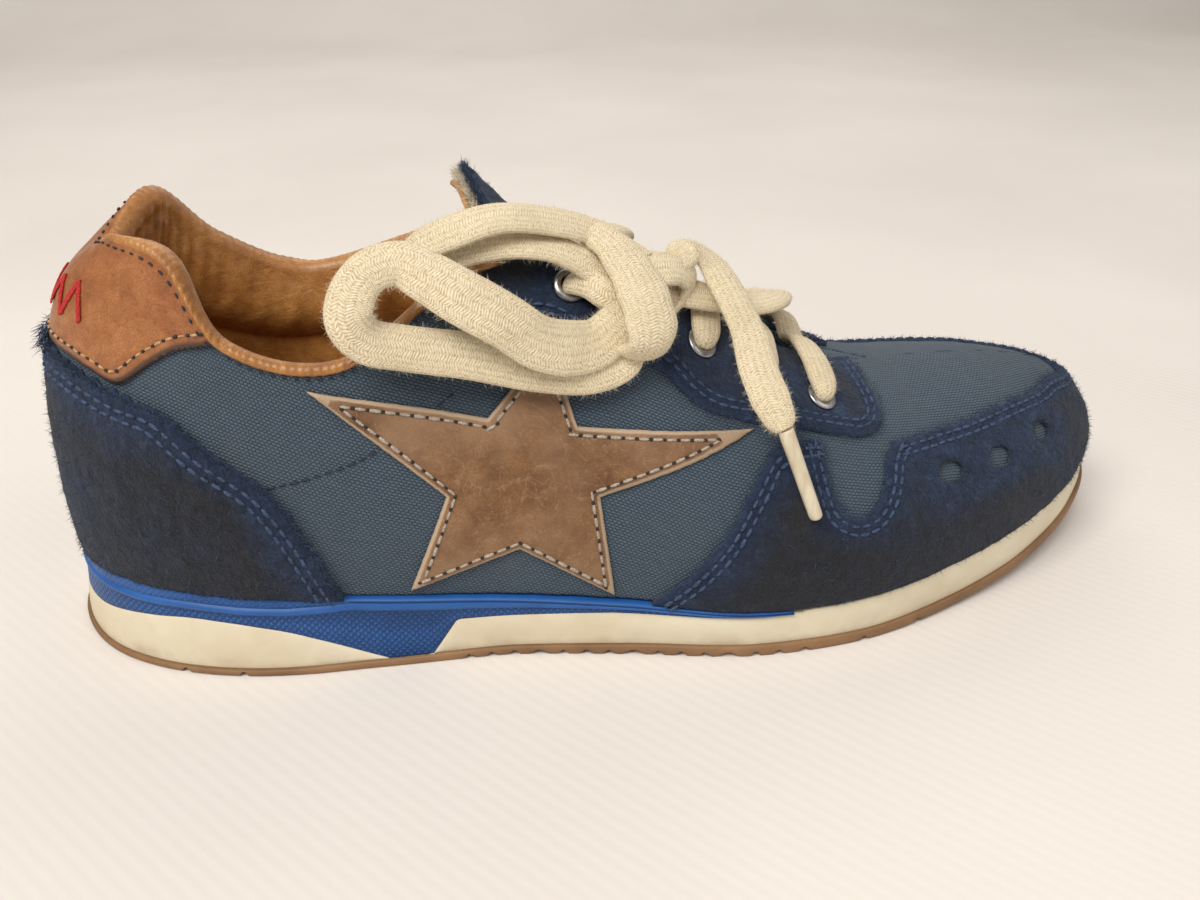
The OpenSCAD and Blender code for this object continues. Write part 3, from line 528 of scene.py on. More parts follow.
def canvas_finish(name, pitch, dark, mid, light, slant=0.0):
    """Plain woven cloth: rows of short floats, each row shifted by half a float."""
    f = Finish(name, Roughness=0.88, Sheen_Weight=0.1, Sheen_Roughness=0.5)
    uv = f.add("Mapping", {"Vector": f.uv(), "Rotation": (0, 0, slant)})
    parts = f.tree.nodes.new("ShaderNodeSeparateXYZ")
    f.tree.links.new(uv, parts.inputs[0])
    wob = f.noise(0.45, 2, uv)
    v = f.math("MULTIPLY_ADD", parts.outputs[1], 1 / (pitch * 0.66), f.math("MULTIPLY", wob, 0.5))
    row = f.math("FLOORED_MODULO", f.math("FLOOR", v), 2.0)
    u = f.math("ADD", f.math("MULTIPLY_ADD", parts.outputs[0], 1 / pitch, f.math("MULTIPLY", wob, 0.6)),
               f.math("MULTIPLY", row, 0.5))
    su = f.math("SINE", f.math("MULTIPLY", f.math("FRACT", u), math.pi))
    sv = f.math("SINE", f.math("MULTIPLY", f.math("FRACT", v), math.pi))
    height = f.math("MULTIPLY", f.math("POWER", su, 0.5), f.math("POWER", sv, 0.7))
    yarn = f.noise(1.0, 3, f.stretch(uv, 0.25, 1.6, 1), 0.6)
    fine = f.noise(6.0, 2, uv)
    # half the tone comes from the weave's height, so the float crests are lighter and the gaps between them darker:
    # painted shade in the weave's hollows
    tone = f.math("ADD", f.math("MULTIPLY", height, 0.5), f.math("ADD", f.math("MULTIPLY", yarn, 0.32),
                                                                 f.math("MULTIPLY", fine, 0.18)))
    color = f.ramp(tone, [(0.16, dark), (0.5, mid), (0.86, light)])
    fade = f.band(f.noise(24, 4), 0.42, 0.7)
    color = f.mix(f.math("MULTIPLY", fade, 0.28), color, tuple(c * 0.55 + 0.01 for c in light))
    dust = f.band(f.noise(55, 5), 0.62, 0.8)
    color = f.mix(f.math("MULTIPLY", dust, 0.2), color, (0.17, 0.15, 0.125))
    return f.finish(color, None, f.bump(height, 0.9, 0.0003))


def suede_finish(name, deep, blue, worn, dirt, grime=1.0):
    """Napped leather: blue and lifted near its cut edges, matted and dirty away from them, where the dirt carries
    painted shade and painted highlight on its clumps.
    """
    f = Finish(name, Roughness=0.95, Sheen_Weight=0.22, Sheen_Roughness=0.45, Sheen_Tint=(0.4, 0.5, 0.7, 1))
    broad, clump = f.noise(34, 4), f.noise(330, 5, rough=0.72, distort=0.5)
    nap = f.noise(1400, 4, rough=0.75)
    edge = f.attribute("edge_mm")
    tone = f.math("ADD", f.math("MULTIPLY", clump, 0.62), f.math("MULTIPLY", nap, 0.38))
    color = f.ramp(tone, [(0.34, deep), (0.53, blue), (0.7, worn)])
    inside = f.band(edge, 1.5, 8.0)
    patch = f.band(f.math("ADD", f.math("MULTIPLY", broad, 0.75), f.math("MULTIPLY", inside, 0.42)), 0.46, 0.76)
    # the dirt colour follows the clumps and nap that also raise the bump: darker in the low ones as painted shade,
    # lighter on the raised ones as a painted highlight
    dirt_with_painted_light = f.ramp(tone, [(0.34, tuple(x * 0.25 for x in dirt)), (0.55, tuple(x * 0.75 for x in dirt)),
                         (0.72, tuple(x * 1.7 for x in dirt))])
    color = f.mix(f.math("MULTIPLY", patch, 0.92 * grime), color, dirt_with_painted_light)
    rust = f.band(f.noise(70, 4), 0.55, 0.75)
    color = f.mix(f.math("MULTIPLY", f.math("MULTIPLY", rust, patch), 0.35), color, (0.045, 0.032, 0.022))
    cut = f.band(edge, -0.2, 0.7, 1.0, 0.0)
    color = f.mix(f.math("MULTIPLY", cut, 0.6), color, worn)
    low = f.bump(clump, 0.9, 0.0014)
    return f.finish(color, None, f.bump(nap, 0.9, 0.0005, low))


def leather_finish(name, dark, mid, light, rough=(0.38, 0.6), grain=1500, wrinkle=0.4, coat=0.15, streak=(1, 1, 1),
                   edge_color=None, edge_width=0.7, rubbed=None):
    f = Finish(name, Coat_Weight=coat, Coat_Roughness=0.35)
    at = f.place()
    broad, mottle = f.noise(45, 5, at, 0.6), f.noise(260, 4, f.stretch(at, *streak), 0.65, 0.4)
    tone = f.math("ADD", f.math("MULTIPLY", broad, 0.5), f.math("MULTIPLY", mottle, 0.5))
    color = f.ramp(tone, [(0.33, dark), (0.5, mid), (0.68, light)])
    cell = f.add("TexVoronoi", {"Vector": at, "Scale": grain}, feature="DISTANCE_TO_EDGE")
    pores = f.band(cell, 0.0, 0.18)
    # darker along the grain's cell edges, the creases that the pores bump sinks: painted shade in the grain
    color = f.mix(f.band(cell, 0.0, 0.12, 0.5, 0.0), color, dark)
    if rubbed:
        # paler where it is rubbed, along the edges and in fine scratches
        edge = f.attribute("edge_mm")
        pale = f.math("MULTIPLY", f.band(edge, 2.0, 8.0, 0.6, 0.0), f.band(f.noise(60, 4), 0.36, 0.62))
        color = f.mix(pale, color, rubbed)
        scratch = f.noise(90, 3, f.stretch(at, 1.0, 1.0, 1.0), 0.5, 2.5)
        line = f.band(f.math("ABSOLUTE", f.math("SUBTRACT", scratch, 0.5)), 0.0, 0.012, 0.55, 0.0)
        color = f.mix(line, color, rubbed)
    if edge_color:
        edge = f.attribute("edge_mm")
        color = f.mix(f.band(edge, edge_width * 0.55, edge_width, 1.0, 0.0), color, edge_color)
    folds = f.noise(150, 4, f.stretch(at, 1, 0.4, 2.2), 0.6, 1.2)
    normal = f.bump(folds, wrinkle, 0.0012)
    normal = f.bump(pores, 0.22, 0.00018, normal)
    return f.finish(color, f.band(mottle, 0.3, 0.7, rough[1], rough[0]), normal)


def rubber_finish(name, color_a, color_b, scuff, rough=0.55, dimples=None, scuff_from=0.6, low_dirt=0.0):
    f = Finish(name, Roughness=rough)
    at = f.place()
    broad, fine = f.noise(60, 5, at, 0.6), f.noise(900, 4, at, 0.6)
    color = f.ramp(broad, [(0.35, color_a), (0.65, color_b)])
    scr = f.noise(240, 5, f.stretch(at, 0.35, 1, 2.2), 0.7, 0.8)
    color = f.mix(f.math("MULTIPLY", f.band(scr, scuff_from, scuff_from + 0.12), 0.55), color, scuff)
    if low_dirt:
        parts = f.tree.nodes.new("ShaderNodeSeparateXYZ")
        f.tree.links.new(at, parts.inputs[0])
        down = f.band(parts.outputs[2], 0.0035, 0.0085, 1.0, 0.0)
        smear = f.math("MULTIPLY", down, f.band(f.noise(120, 4, at), 0.42, 0.66))
        color = f.mix(f.math("MULTIPLY", smear, low_dirt), color, scuff)
    normal = f.bump(fine, 0.12, 0.0003)
    if dimples:
        uv = f.uv()
        parts = f.tree.nodes.new("ShaderNodeSeparateXYZ")
        f.tree.links.new(uv, parts.inputs[0])
        u, v = parts.outputs[0], parts.outputs[1]
        p = math.pi / dimples
        d1 = f.math("SINE", f.math("MULTIPLY", f.math("ADD", u, v), p))
        d2 = f.math("SINE", f.math("MULTIPLY", f.math("SUBTRACT", u, v), p))
        diamond = f.math("POWER", f.math("ABSOLUTE", f.math("MULTIPLY", d1, d2)), 0.6)
        region = f.attribute("dimple")
        height = f.math("MULTIPLY", diamond, region)
        # darker in the dimples' hollows, where the bump sinks: painted shade
        color = f.mix(f.math("MULTIPLY", f.math("MULTIPLY", f.math("SUBTRACT", 1.0, diamond), region), 0.45), color,
                      tuple(x * 0.35 for x in color_a))
        normal = f.bump(height, 0.9, 0.0005, normal)
    return f.finish(color, None, normal)


def braid_finish(name, dark, mid, light):
    f = Finish(name, Roughness=0.92, Sheen_Weight=0.1, Sheen_Roughness=0.5)
    uv = f.uv()
    parts = f.tree.nodes.new("ShaderNodeSeparateXYZ")
    f.tree.links.new(uv, parts.inputs[0])
    u, v = parts.outputs[0], parts.outputs[1]
    wob = f.math("MULTIPLY", f.noise(0.5, 3, uv, 0.6), 1.8)
    column = f.math("DIVIDE", u, 0.62)
    lean = f.math("SUBTRACT", f.math("MULTIPLY", f.math("FLOORED_MODULO", f.math("FLOOR", column), 2.0), 2.0), 1.0)
    across = f.math("SUBTRACT", f.math("FRACT", column), 0.5)
    phase = f.math("ADD", f.math("DIVIDE", v, 0.56), f.math("ADD", f.math("MULTIPLY", across, lean), wob))
    yarn = f.math("SINE", f.math("MULTIPLY", f.math("FRACT", phase), math.pi))
    rib = f.math("COSINE", f.math("MULTIPLY", across, math.pi))
    height = f.math("MULTIPLY", f.math("POWER", yarn, 0.7), f.math("MULTIPLY_ADD", rib, 0.6, 0.4))
    fuzz = f.noise(1900, 3)
    # part of the tone comes from the yarn height, so the yarn crests are lighter and the grooves between them darker:
    # painted shade
    tone = f.math("ADD", f.math("MULTIPLY", height, 0.36), f.math("MULTIPLY", fuzz, 0.64))
    color = f.ramp(tone, [(0.22, dark), (0.5, mid), (0.78, light)])
    soil = f.band(f.noise(90, 4), 0.5, 0.75)
    color = f.mix(f.math("MULTIPLY", soil, 0.3), color, dark)
    normal = f.bump(height, 0.5, 0.0004)
    return f.finish(color, None, f.bump(fuzz, 0.6, 0.0004, normal))


def thread_finish(name, color, shade):
    f = Finish(name, Roughness=0.7)
    twist = f.noise(2500, 2)
    return f.finish(f.ramp(twist, [(0.35, shade), (0.65, color)]), None, f.bump(twist, 0.4, 0.0002))


def metal_finish(name, color, rough):
    f = Finish(name, Metallic=1.0)
    scratch = f.noise(700, 4, f.stretch(f.place(), 1, 0.3, 1), 0.7)
    tone = f.ramp(scratch, [(0.35, tuple(c * 0.7 for c in color)), (0.65, color)])
    return f.finish(tone, f.band(scratch, 0.3, 0.7, rough - 0.1, rough + 0.12), f.bump(scratch, 0.1, 0.0002))


canvas = canvas_finish("slate_canvas", 1.0, (0.008, 0.016, 0.028), (0.046, 0.074, 0.108), (0.112, 0.160, 0.212), 0.28)
suede = suede_finish("navy_suede", (0.003, 0.006, 0.016), (0.011, 0.024, 0.062), (0.040, 0.075, 0.150),
                     (0.019, 0.018, 0.020))
tongue_suede = suede_finish("tongue_suede", (0.004, 0.008, 0.018), (0.013, 0.026, 0.058), (0.045, 0.080, 0.145),
                            (0.022, 0.022, 0.026), 0.4)
tab_leather = leather_finish("cognac_leather", (0.16, 0.042, 0.009), (0.335, 0.112, 0.026), (0.48, 0.195, 0.062),
                             wrinkle=0.35, coat=0.45, edge_color=(0.075, 0.028, 0.012), edge_width=0.9)
star_leather = leather_finish("star_leather", (0.085, 0.034, 0.012), (0.180, 0.080, 0.027), (0.29, 0.145, 0.060),
                              rough=(0.5, 0.72), grain=1150, wrinkle=0.1, coat=0.04, streak=(0.8, 1, 1),
                              edge_color=(0.50, 0.37, 0.25), edge_width=0.55, rubbed=(0.36, 0.215, 0.12))
lining_leather = leather_finish("lining_leather", (0.22, 0.075, 0.016), (0.44, 0.185, 0.042), (0.64, 0.33, 0.105),
                                rough=(0.32, 0.55), grain=1900, wrinkle=0.24, coat=0.35)
gum = rubber_finish("gum_rubber", (0.20, 0.105, 0.045), (0.30, 0.165, 0.075), (0.12, 0.07, 0.04), 0.62)
ivory = rubber_finish("ivory_foam", (0.70, 0.605, 0.43), (0.80, 0.725, 0.555),
                      (0.36, 0.25, 0.14), 0.6, None, 0.66, 0.45)
royal = rubber_finish("royal_rubber", (0.010, 0.080, 0.30), (0.018, 0.118, 0.40), (0.05, 0.10, 0.20), 0.45, 1.55, 0.66)
lace_braid = braid_finish("cotton_braid", (0.48, 0.37, 0.215), (0.80, 0.67, 0.455), (0.92, 0.83, 0.64))
nickel = metal_finish("worn_nickel", (0.55, 0.55, 0.55), 0.32)
pale_thread = thread_finish("pale_thread", (0.50, 0.44, 0.37), (0.28, 0.235, 0.19))
navy_thread = thread_finish("navy_thread", (0.055, 0.095, 0.19), (0.014, 0.028, 0.065))
dark_thread = thread_finish("dark_thread", (0.022, 0.036, 0.062), (0.008, 0.013, 0.024))
tan_thread = thread_finish("tan_thread", (0.62, 0.40, 0.22), (0.36, 0.20, 0.09))
red_thread = thread_finish("red_thread", (0.62, 0.03, 0.025), (0.35, 0.012, 0.01))
# dark blobs standing for needle holes: painted shade
needle_hole_shade = thread_finish("needle_hole", (0.03, 0.022, 0.018), (0.015, 0.01, 0.008))
nap_fibre = thread_finish("suede_fibre", (0.050, 0.085, 0.155), (0.012, 0.022, 0.050))
# matted dirty fibres; round the vents they also stand for the shade on the rims, painted shade
matted_fibre_and_rim_shade = thread_finish("matted_fibre", (0.075, 0.080, 0.095), (0.010, 0.010, 0.013))
cotton_fibre = thread_finish("cotton_fibre", (0.85, 0.78, 0.62), (0.62, 0.54, 0.38))
tape_weave = canvas_finish("zip_tape_weave", 0.7, (0.008, 0.012, 0.025), (0.022, 0.032, 0.060), (0.05, 0.07, 0.12))
cloth_lining = canvas_finish("lining_cloth", 0.8, (0.22, 0.18, 0.12), (0.48, 0.41, 0.31), (0.62, 0.55, 0.44))
fibre_board = leather_finish("fibre_board", (0.34, 0.27, 0.18), (0.45, 0.38, 0.27), (0.55, 0.48, 0.36), wrinkle=0.1,
                             coat=0.0, rough=(0.7, 0.85))
raw_felt = suede_finish("raw_felt", (0.10, 0.065, 0.035), (0.22, 0.16, 0.10),
                       (0.36, 0.29, 0.20), (0.16, 0.12, 0.08), 0.5)
clear_aglet = Finish("aglet_plastic", Roughness=0.22, Coat_Weight=0.4)
wrap_tone = clear_aglet.noise(600, 3, clear_aglet.stretch(clear_aglet.place(), 1, 1, 0.2))
clear_aglet = clear_aglet.finish(clear_aglet.ramp(wrap_tone, [(0.3, (0.56, 0.46, 0.30)), (0.7, (0.78, 0.70, 0.54))]),
                                 None, clear_aglet.bump(wrap_tone, 0.1, 0.0003))


# ---- Geometry Nodes ----
def tree_with(name, numbers):
    tree = bpy.data.node_groups.new(name, "GeometryNodeTree")
    tree.interface.new_socket("Geometry", in_out="INPUT", socket_type="NodeSocketGeometry")
    for key, value in numbers.items():
        kind = "NodeSocketInt" if isinstance(value, int) else "NodeSocketFloat"
        sock = tree.interface.new_socket(key, in_out="INPUT", socket_type=kind)
        sock.default_value = value
    tree.interface.new_socket("Material", in_out="INPUT", socket_type="NodeSocketMaterial")
    tree.interface.new_socket("Geometry", in_out="OUTPUT", socket_type="NodeSocketGeometry")
    return tree, tree.nodes.new("NodeGroupInput"), tree.nodes.new("NodeGroupOutput")


def gn(tree, kind, inputs=None, **props):
    node = tree.nodes.new(kind)
    for key, value in props.items():
        setattr(node, key, value)
    for key, value in (inputs or {}).items():
        if isinstance(value, bpy.types.NodeSocket):
            tree.links.new(value, node.inputs[key])
        else:
            node.inputs[key].default_value = value
    return node


def named_vector(tree, name):
    return gn(tree, "GeometryNodeInputNamedAttribute", {"Name": name}, data_type="FLOAT_VECTOR").outputs[0]


def planted(tree, gin, gout, shape, rotation, scale, smooth):
    """The end of both trees: the shape on every point, made real and given its material."""
    last_step = gn(tree, "GeometryNodeInstanceOnPoints", {"Points": gin.outputs["Geometry"], "Instance": shape,
                                                          "Rotation": rotation, "Scale": scale})
    last_step = gn(tree, "GeometryNodeRealizeInstances", {"Geometry": last_step.outputs[0]})
    if smooth:
        last_step = gn(tree, "GeometryNodeSetShadeSmooth", {"Geometry": last_step.outputs[0]})
    mat = gn(tree, "GeometryNodeSetMaterial", {"Geometry": last_step.outputs[0], "Material": gin.outputs["Material"]})
    tree.links.new(mat.outputs[0], gout.inputs[0])
    return tree


def stitch_tree():
    """Every point of the mesh gets one rounded stitch that lies along it."""
    tree, gin, gout = tree_with("stitches", {"Length": 0.0022, "Width": 0.0006, "Seed": 3, "Unevenness": 0.12})
    ball = gn(tree, "GeometryNodeMeshUVSphere", {"Segments": 8, "Rings": 6, "Radius": 0.5})
    size = gn(tree, "ShaderNodeCombineXYZ", {"X": gin.outputs["Length"], "Y": gin.outputs["Width"],
                                             "Z": gin.outputs["Width"]})
    shaped = gn(tree, "GeometryNodeTransform", {"Geometry": ball.outputs["Mesh"], "Scale": size.outputs[0]})
    along = gn(tree, "FunctionNodeAlignRotationToVector", {"Vector": named_vector(tree, "along")}, axis="X")
    up = gn(tree, "FunctionNodeAlignRotationToVector", {"Rotation": along.outputs[0],
                                                              "Vector": named_vector(tree, "up")},
            axis="Z", pivot_axis="X")
    low = gn(tree, "ShaderNodeMath", {0: 1.0, 1: gin.outputs["Unevenness"]}, operation="SUBTRACT")
    high = gn(tree, "ShaderNodeMath", {0: 1.0, 1: gin.outputs["Unevenness"]}, operation="ADD")
    rand = gn(tree, "FunctionNodeRandomValue", {"Min": low.outputs[0], "Max": high.outputs[0],
                                                     "Seed": gin.outputs["Seed"]},
              data_type="FLOAT")
    # the float result of Random Value is its second output
    return planted(tree, gin, gout, shaped.outputs[0], up.outputs[0], rand.outputs[1], True)


def fibre_tree():
    """Every point of the mesh grows one thin tapered fibre, leaning at random."""
    tree, gin, gout = tree_with("fibres", {"Length": 0.0016, "Thickness": 0.00012, "Lean": 0.9, "Seed": 5})
    cone = gn(tree, "GeometryNodeMeshCone", {"Vertices": 3, "Side Segments": 2,
                                                 "Radius Top": 0.02, "Radius Bottom": 1.0,
                                             "Depth": 1.0})
    size = gn(tree, "ShaderNodeCombineXYZ", {"X": gin.outputs["Thickness"], "Y": gin.outputs["Thickness"],
                                             "Z": gin.outputs["Length"]})
    shaped = gn(tree, "GeometryNodeTransform", {"Geometry": cone.outputs["Mesh"], "Scale": size.outputs[0]})
    up = gn(tree, "FunctionNodeAlignRotationToVector", {"Vector": named_vector(tree, "up")}, axis="Z")
    neg = gn(tree, "ShaderNodeMath", {0: gin.outputs["Lean"], 1: -1.0}, operation="MULTIPLY")
    lo = gn(tree, "ShaderNodeCombineXYZ", {"X": neg.outputs[0], "Y": neg.outputs[0], "Z": 0.0})
    hi = gn(tree, "ShaderNodeCombineXYZ", {"X": gin.outputs["Lean"], "Y": gin.outputs["Lean"], "Z": 6.28})
    lean = gn(tree, "FunctionNodeRandomValue", {"Min": lo.outputs[0], "Max": hi.outputs[0],
                                                     "Seed": gin.outputs["Seed"]},
              data_type="FLOAT_VECTOR")
    turn = gn(tree, "FunctionNodeEulerToRotation", {"Euler": lean.outputs[0]})
    both = gn(tree, "FunctionNodeRotateRotation", {"Rotation": up.outputs[0], "Rotate By": turn.outputs[0]},
              rotation_space="LOCAL")
    grow = gn(tree, "FunctionNodeRandomValue", {"Seed": gin.outputs["Seed"]}, data_type="FLOAT")
    grow.inputs[2].default_value = 0.35
    grow.inputs[3].default_value = 1.25
    return planted(tree, gin, gout, shaped.outputs[0], both.outputs[0], grow.outputs[1], False)


STITCHES, FIBRES = stitch_tree(), fibre_tree()


def grown(name, tree, points, up, along, mat, **numbers):
    """Runs a tree on a cloud of points, with their directions, and returns the result as a plain mesh."""
    me = bpy.data.meshes.new(name + "_points")
    me.from_pydata([tuple(p) for p in np.asarray(points) * MM], [], [])
    for key, vals in (("up", up), ("along", along)):
        if vals is not None:
            a = me.attributes.new(key, "FLOAT_VECTOR", "POINT")
            a.data.foreach_set("vector", np.asarray(vals, np.float32).ravel())
    ob = bpy.data.objects.new(name + "_points", me)
    bpy.context.scene.collection.objects.link(ob)
    mod = ob.modifiers.new("grow", "NODES")
    mod.node_group = tree
    wanted = dict(numbers, Material=mat)
    for item in tree.interface.items_tree:
        if item.in_out == "INPUT" and item.name in wanted:
            mod[item.identifier] = wanted[item.name]
    ob.update_tag()
    bpy.context.view_layer.update()
    solid = bpy.data.meshes.new_from_object(ob.evaluated_get(bpy.context.evaluated_depsgraph_get()))
    solid.name = name
    bpy.data.objects.remove(ob)
    out = bpy.data.objects.new(name, solid)
    bpy.context.scene.collection.objects.link(out)
    if not solid.materials:
        solid.materials.append(mat)
    return out


def along_surface(path, lift, pitch):
    """Points every pitch millimetres along a path of (station, height) pairs, with their directions."""
    p = np.asarray(path, float)
    q = resample(p * FLAT, 0.4, closed=False) / FLAT
    xyz = off(q[:, 0], np.clip(q[:, 1], 0, 1), lift)
    run_ = np.concatenate([[0], np.cumsum(np.linalg.norm(np.diff(xyz, axis=0), axis=1))])
    at = np.arange(pitch / 2, run_[-1], pitch)
    pos = np.stack([np.interp(at, run_, xyz[:, k]) for k in range(3)], 1)
    s, t = np.interp(at, run_, q[:, 0]), np.interp(at, run_, q[:, 1])
    ahead_ = np.stack([np.interp(at + 0.3, run_, c) - np.interp(at - 0.3, run_, c) for c in xyz.T], 1)
    return pos, ahead_ / np.maximum(np.linalg.norm(ahead_, axis=1, keepdims=True), 1e-9), outward(s, t)


def inset_path(path, amount):
    """The path moved sideways over the surface by millimetres, to the left of its travel seen from outside."""
    p = resample(np.asarray(path, float) * FLAT, 0.8, closed=False) / FLAT
    e = 0.01
    s, t = p[:, 0], np.clip(p[:, 1], 0.012, 0.988)
    ds, dt = (last(s + e, t) - last(s - e, t)) / (2 * e), (last(s, t + e) - last(s, t - e)) / (2 * e)
    d = np.gradient(p, axis=0)
    tang = ds * d[:, :1] + dt * d[:, 1:]
    tang /= np.maximum(np.linalg.norm(tang, axis=1, keepdims=True), 1e-9)
    left = np.cross(outward(s, t), tang)
    a11, a12, a22 = (ds * ds).sum(1), (ds * dt).sum(1), (dt * dt).sum(1)
    b1, b2 = (ds * left).sum(1), (dt * left).sum(1)
    det = a11 * a22 - a12 ** 2
    return p + np.stack([(a22 * b1 - a12 * b2) / det, (a11 * b2 - a12 * b1) / det], 1) * amount


class Rows:
    """Collects points for one Geometry Nodes run."""

    def __init__(self):
        self.pos, self.along, self.up = [], [], []

    def add(self, pos, along, up):
        self.pos.append(pos), self.along.append(along), self.up.append(up)
        return self

    def build(self, name, tree, mat, **numbers):
        return grown(name, tree, np.vstack(self.pos), np.vstack(self.up), np.vstack(self.along), mat, **numbers)


def ride(ob, body="shoe", replaced=()):
    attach(ob, body)
    if replaced:
        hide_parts(*([replaced] if isinstance(replaced, str) else replaced))
    return ob


# ---- laces: routes in millimetres, x from the back of the heel ----
LACE_W, LACE_T = 7.6, 2.8
loop_near = [(122, -28.5, 73), (118, -30.5, 70.5), (112, -33.5, 71), (106, -35.5, 73.5), (100, -36.5, 78.5),
             (92, -35.5, 83.5), (86, -33.5, 87), (81, -31.5, 89), (76, -32, 88), (72.5, -34, 84.5), (71.5, -36, 80),
             (74, -36, 76), (81, -34.5, 73.3), (93, -33, 70.3),
              (107, -32.5, 66.5), (117, -31.5, 65), (123, -29.5, 66.5)]
loop_far = [(124, -15, 85), (119, -14.5, 88), (112, -17, 91), (100, -21, 93.5), (91, -24, 92), (85, -25.5, 90),
            (82, -24.5, 87.4), (86, -22.5, 86), (94, -21.8, 87.6), (103, -20.8, 88), (111, -20.2, 86.6),
            (116, -20.5, 84), (120, -21, 81)]
end_lat = [(136, -16, 81), (140, -12, 82.5), (144, -13, 80), (147, -18, 75.5), (150, -25, 69), (151, -32, 63),
           (153, -37.5, 57.5), (155, -40, 53.5)]
end_med = [(135, -17.5, 76), (141, -16.5, 74), (148, -14, 71.5), (155, -10.5, 69), (161, -5.5, 67.5), (164, 2.5, 65.5),
           (165.5, 11, 62), (164, 19, 59.5), (162, 27, 54.5), (160.5, 33, 48)]
feed_med = [(120, 6.5, 78), (124, 2, 77), (128, -4, 76.5), (130.5, -10, 76)]


def part_frame(points):
    return np.asarray(points, float) - np.array([MID_X, 0, 0])


def lace_path(points, steps=10):
    return rounded(part_frame(points), steps)


def tidy_fibres(name, body_obj, count, length, thick, mat, seed):
    """Short loose fibres standing off a piece, picked from its own surface points."""
    me = body_obj.data
    co = np.zeros(len(me.vertices) * 3)
    no = np.zeros(len(me.vertices) * 3)
    me.vertices.foreach_get("co", co)
    me.vertices.foreach_get("normal", no)
    co, no = co.reshape(-1, 3) / MM, no.reshape(-1, 3)
    r = np.random.default_rng(seed)
    polys = r.integers(0, len(me.polygons), count)
    pos, up = [], []
    for k in polys:
        vs = list(me.polygons[int(k)].vertices)[:4]
        w = r.dirichlet(np.ones(len(vs)))
        pos.append((co[vs] * w[:, None]).sum(0))
        up.append(no[vs].mean(0) + r.normal(0, 0.25, 3))
    return grown(name, FIBRES, np.array(pos), np.array(up), None, mat, Length=length * MM, Thickness=thick * MM,
                 Lean=0.95, Seed=seed)


def make_lace(name, points, guides, taper):
    """taper has rows of (share of the length, times the width, times the thickness)."""
    path = lace_path(points)
    k = np.linspace(0, 1, len(path))
    at, wide, thick = zip(*taper)
    w = LACE_W * (1 + 0.03 * np.sin(k * 31 + len(points))) * np.interp(k, at, wide)
    h = LACE_T * (1 + 0.08 * np.sin(k * 23 + 1.3)) * np.interp(k, at, thick)
    return tube(name, path, rounded(np.asarray(guides, float), 10), w, h, lace_braid, sides=24, flat=0.12), path


def turning(a, b, n):
    return [tuple(np.array(a) * (1 - k) + np.array(b) * k) for k in np.linspace(0, 1, n)]


# Where a strand goes on into the knot, its route has a few points more than the plain cord's
near_in, near_out = [(128.5, -21.5, 77), (125.5, -25.5, 75)], [(124.5, -26.5, 69.5), (127.5, -22.5, 72.5)]
far_in, far_out = [(129, -18, 82)], [(125, -20, 80), (129, -20, 79)]
lat_in, med_in = [(127, -18.5, 79.5), (131.5, -17, 81.5)], [(127, -20, 79), (130.5, -19.5, 78.5)]
loop_near_all, loop_far_all = near_in + loop_near + near_out, far_in + loop_far + far_out
near_guides = [(0, -1, 0.5)] * len(loop_near_all)
far_guides = [(0.1, -0.5, 1)] * len(loop_far_all)
lat_guides = [(0.3, 0.1, 1)] * 2 + turning((0.3, 0.1, 1), (0, -1, 0.2), len(end_lat))
med_guides = [(0.2, -0.7, 0.8)] * 2 + turning((0.2, -0.7, 0.9), (0, 1, 0.2), len(end_med))
near_lace, near_path = make_lace("bow_loop_near", loop_near_all, near_guides,
                                 taper=[(0, 0.85, 0.9), (0.08, 1.15, 1),
                                         (0.2, 1.42, 0.85), (0.33, 1.4, 0.85), (0.46, 1.1, 1), (0.7, 1.2, 0.95),
                                        (0.9, 1.25, 1), (1, 0.8, 0.8)])
far_lace, far_path = make_lace("bow_loop_far", loop_far_all, far_guides,
                               taper=[(0, 0.95, 1), (0.2, 1.1, 0.85), (0.5, 1, 1), (1, 0.9, 1)])
lat_lace, lat_path = make_lace("free_end_lateral", lat_in + end_lat, lat_guides,
                               taper=[(0, 0.95, 1), (0.45, 0.98, 1),
                                       (0.7, 1.05, 0.9), (0.86, 1.14, 0.85), (0.95, 0.8, 1), (1, 0.45, 1.1)])
med_lace, med_path = make_lace("free_end_medial", med_in + end_med, med_guides,
                               taper=[(0, 0.95, 1), (0.75, 1, 1), (0.93, 0.8, 1), (1, 0.45, 1.1)])


def aglet(name, start, toward):
    d = np.array(toward, float)
    d /= np.linalg.norm(d)
    a = part_frame([start])[0]
    k = np.array([0.2, 0.6, 1.2, 3, 7, 12, 17, 20.2, 21, 21.4])
    r = np.array([1.55, 1.68, 1.7, 1.66, 1.6, 1.55, 1.52, 1.5, 1.4, 1.1])
    path = a + d * k[:, None]
    return tube(name, path, np.tile((0.3, 0.9, 0.2), (len(k), 1)), r * 2, r * 1.9, clear_aglet, sides=20)


aglet_lat = ride(aglet("aglet_sleeve_lateral", end_lat[-1], (7.6, -4, -20.4)), replaced="aglet_lateral")
aglet_med = ride(aglet("aglet_sleeve_medial", end_med[-1], (-1.5, 9.5, -18)), replaced="aglet_medial")
for ob, node in ((near_lace, "lace_loop_near"), (far_lace, "lace_loop_far"), (lat_lace, "lace_end_lateral"),
                 (med_lace, "lace_end_medial")):
    ride(ob, replaced=node)


# the knot: the far loop's strand goes on over the front of the knot and is tucked under it
def loose_strand(name, points, guides, width, thick=2.8, steps=10, flat=0.1):
    path = rounded(part_frame(points), steps)
    g = rounded(np.asarray(guides, float), steps)
    k = np.linspace(0, 1, len(path))
    w = np.interp(k, np.linspace(0, 1, len(width)), width)
    return tube(name, path, g, w * (1 + 0.025 * np.sin(k * 40)), thick, lace_braid, sides=24, flat=flat)


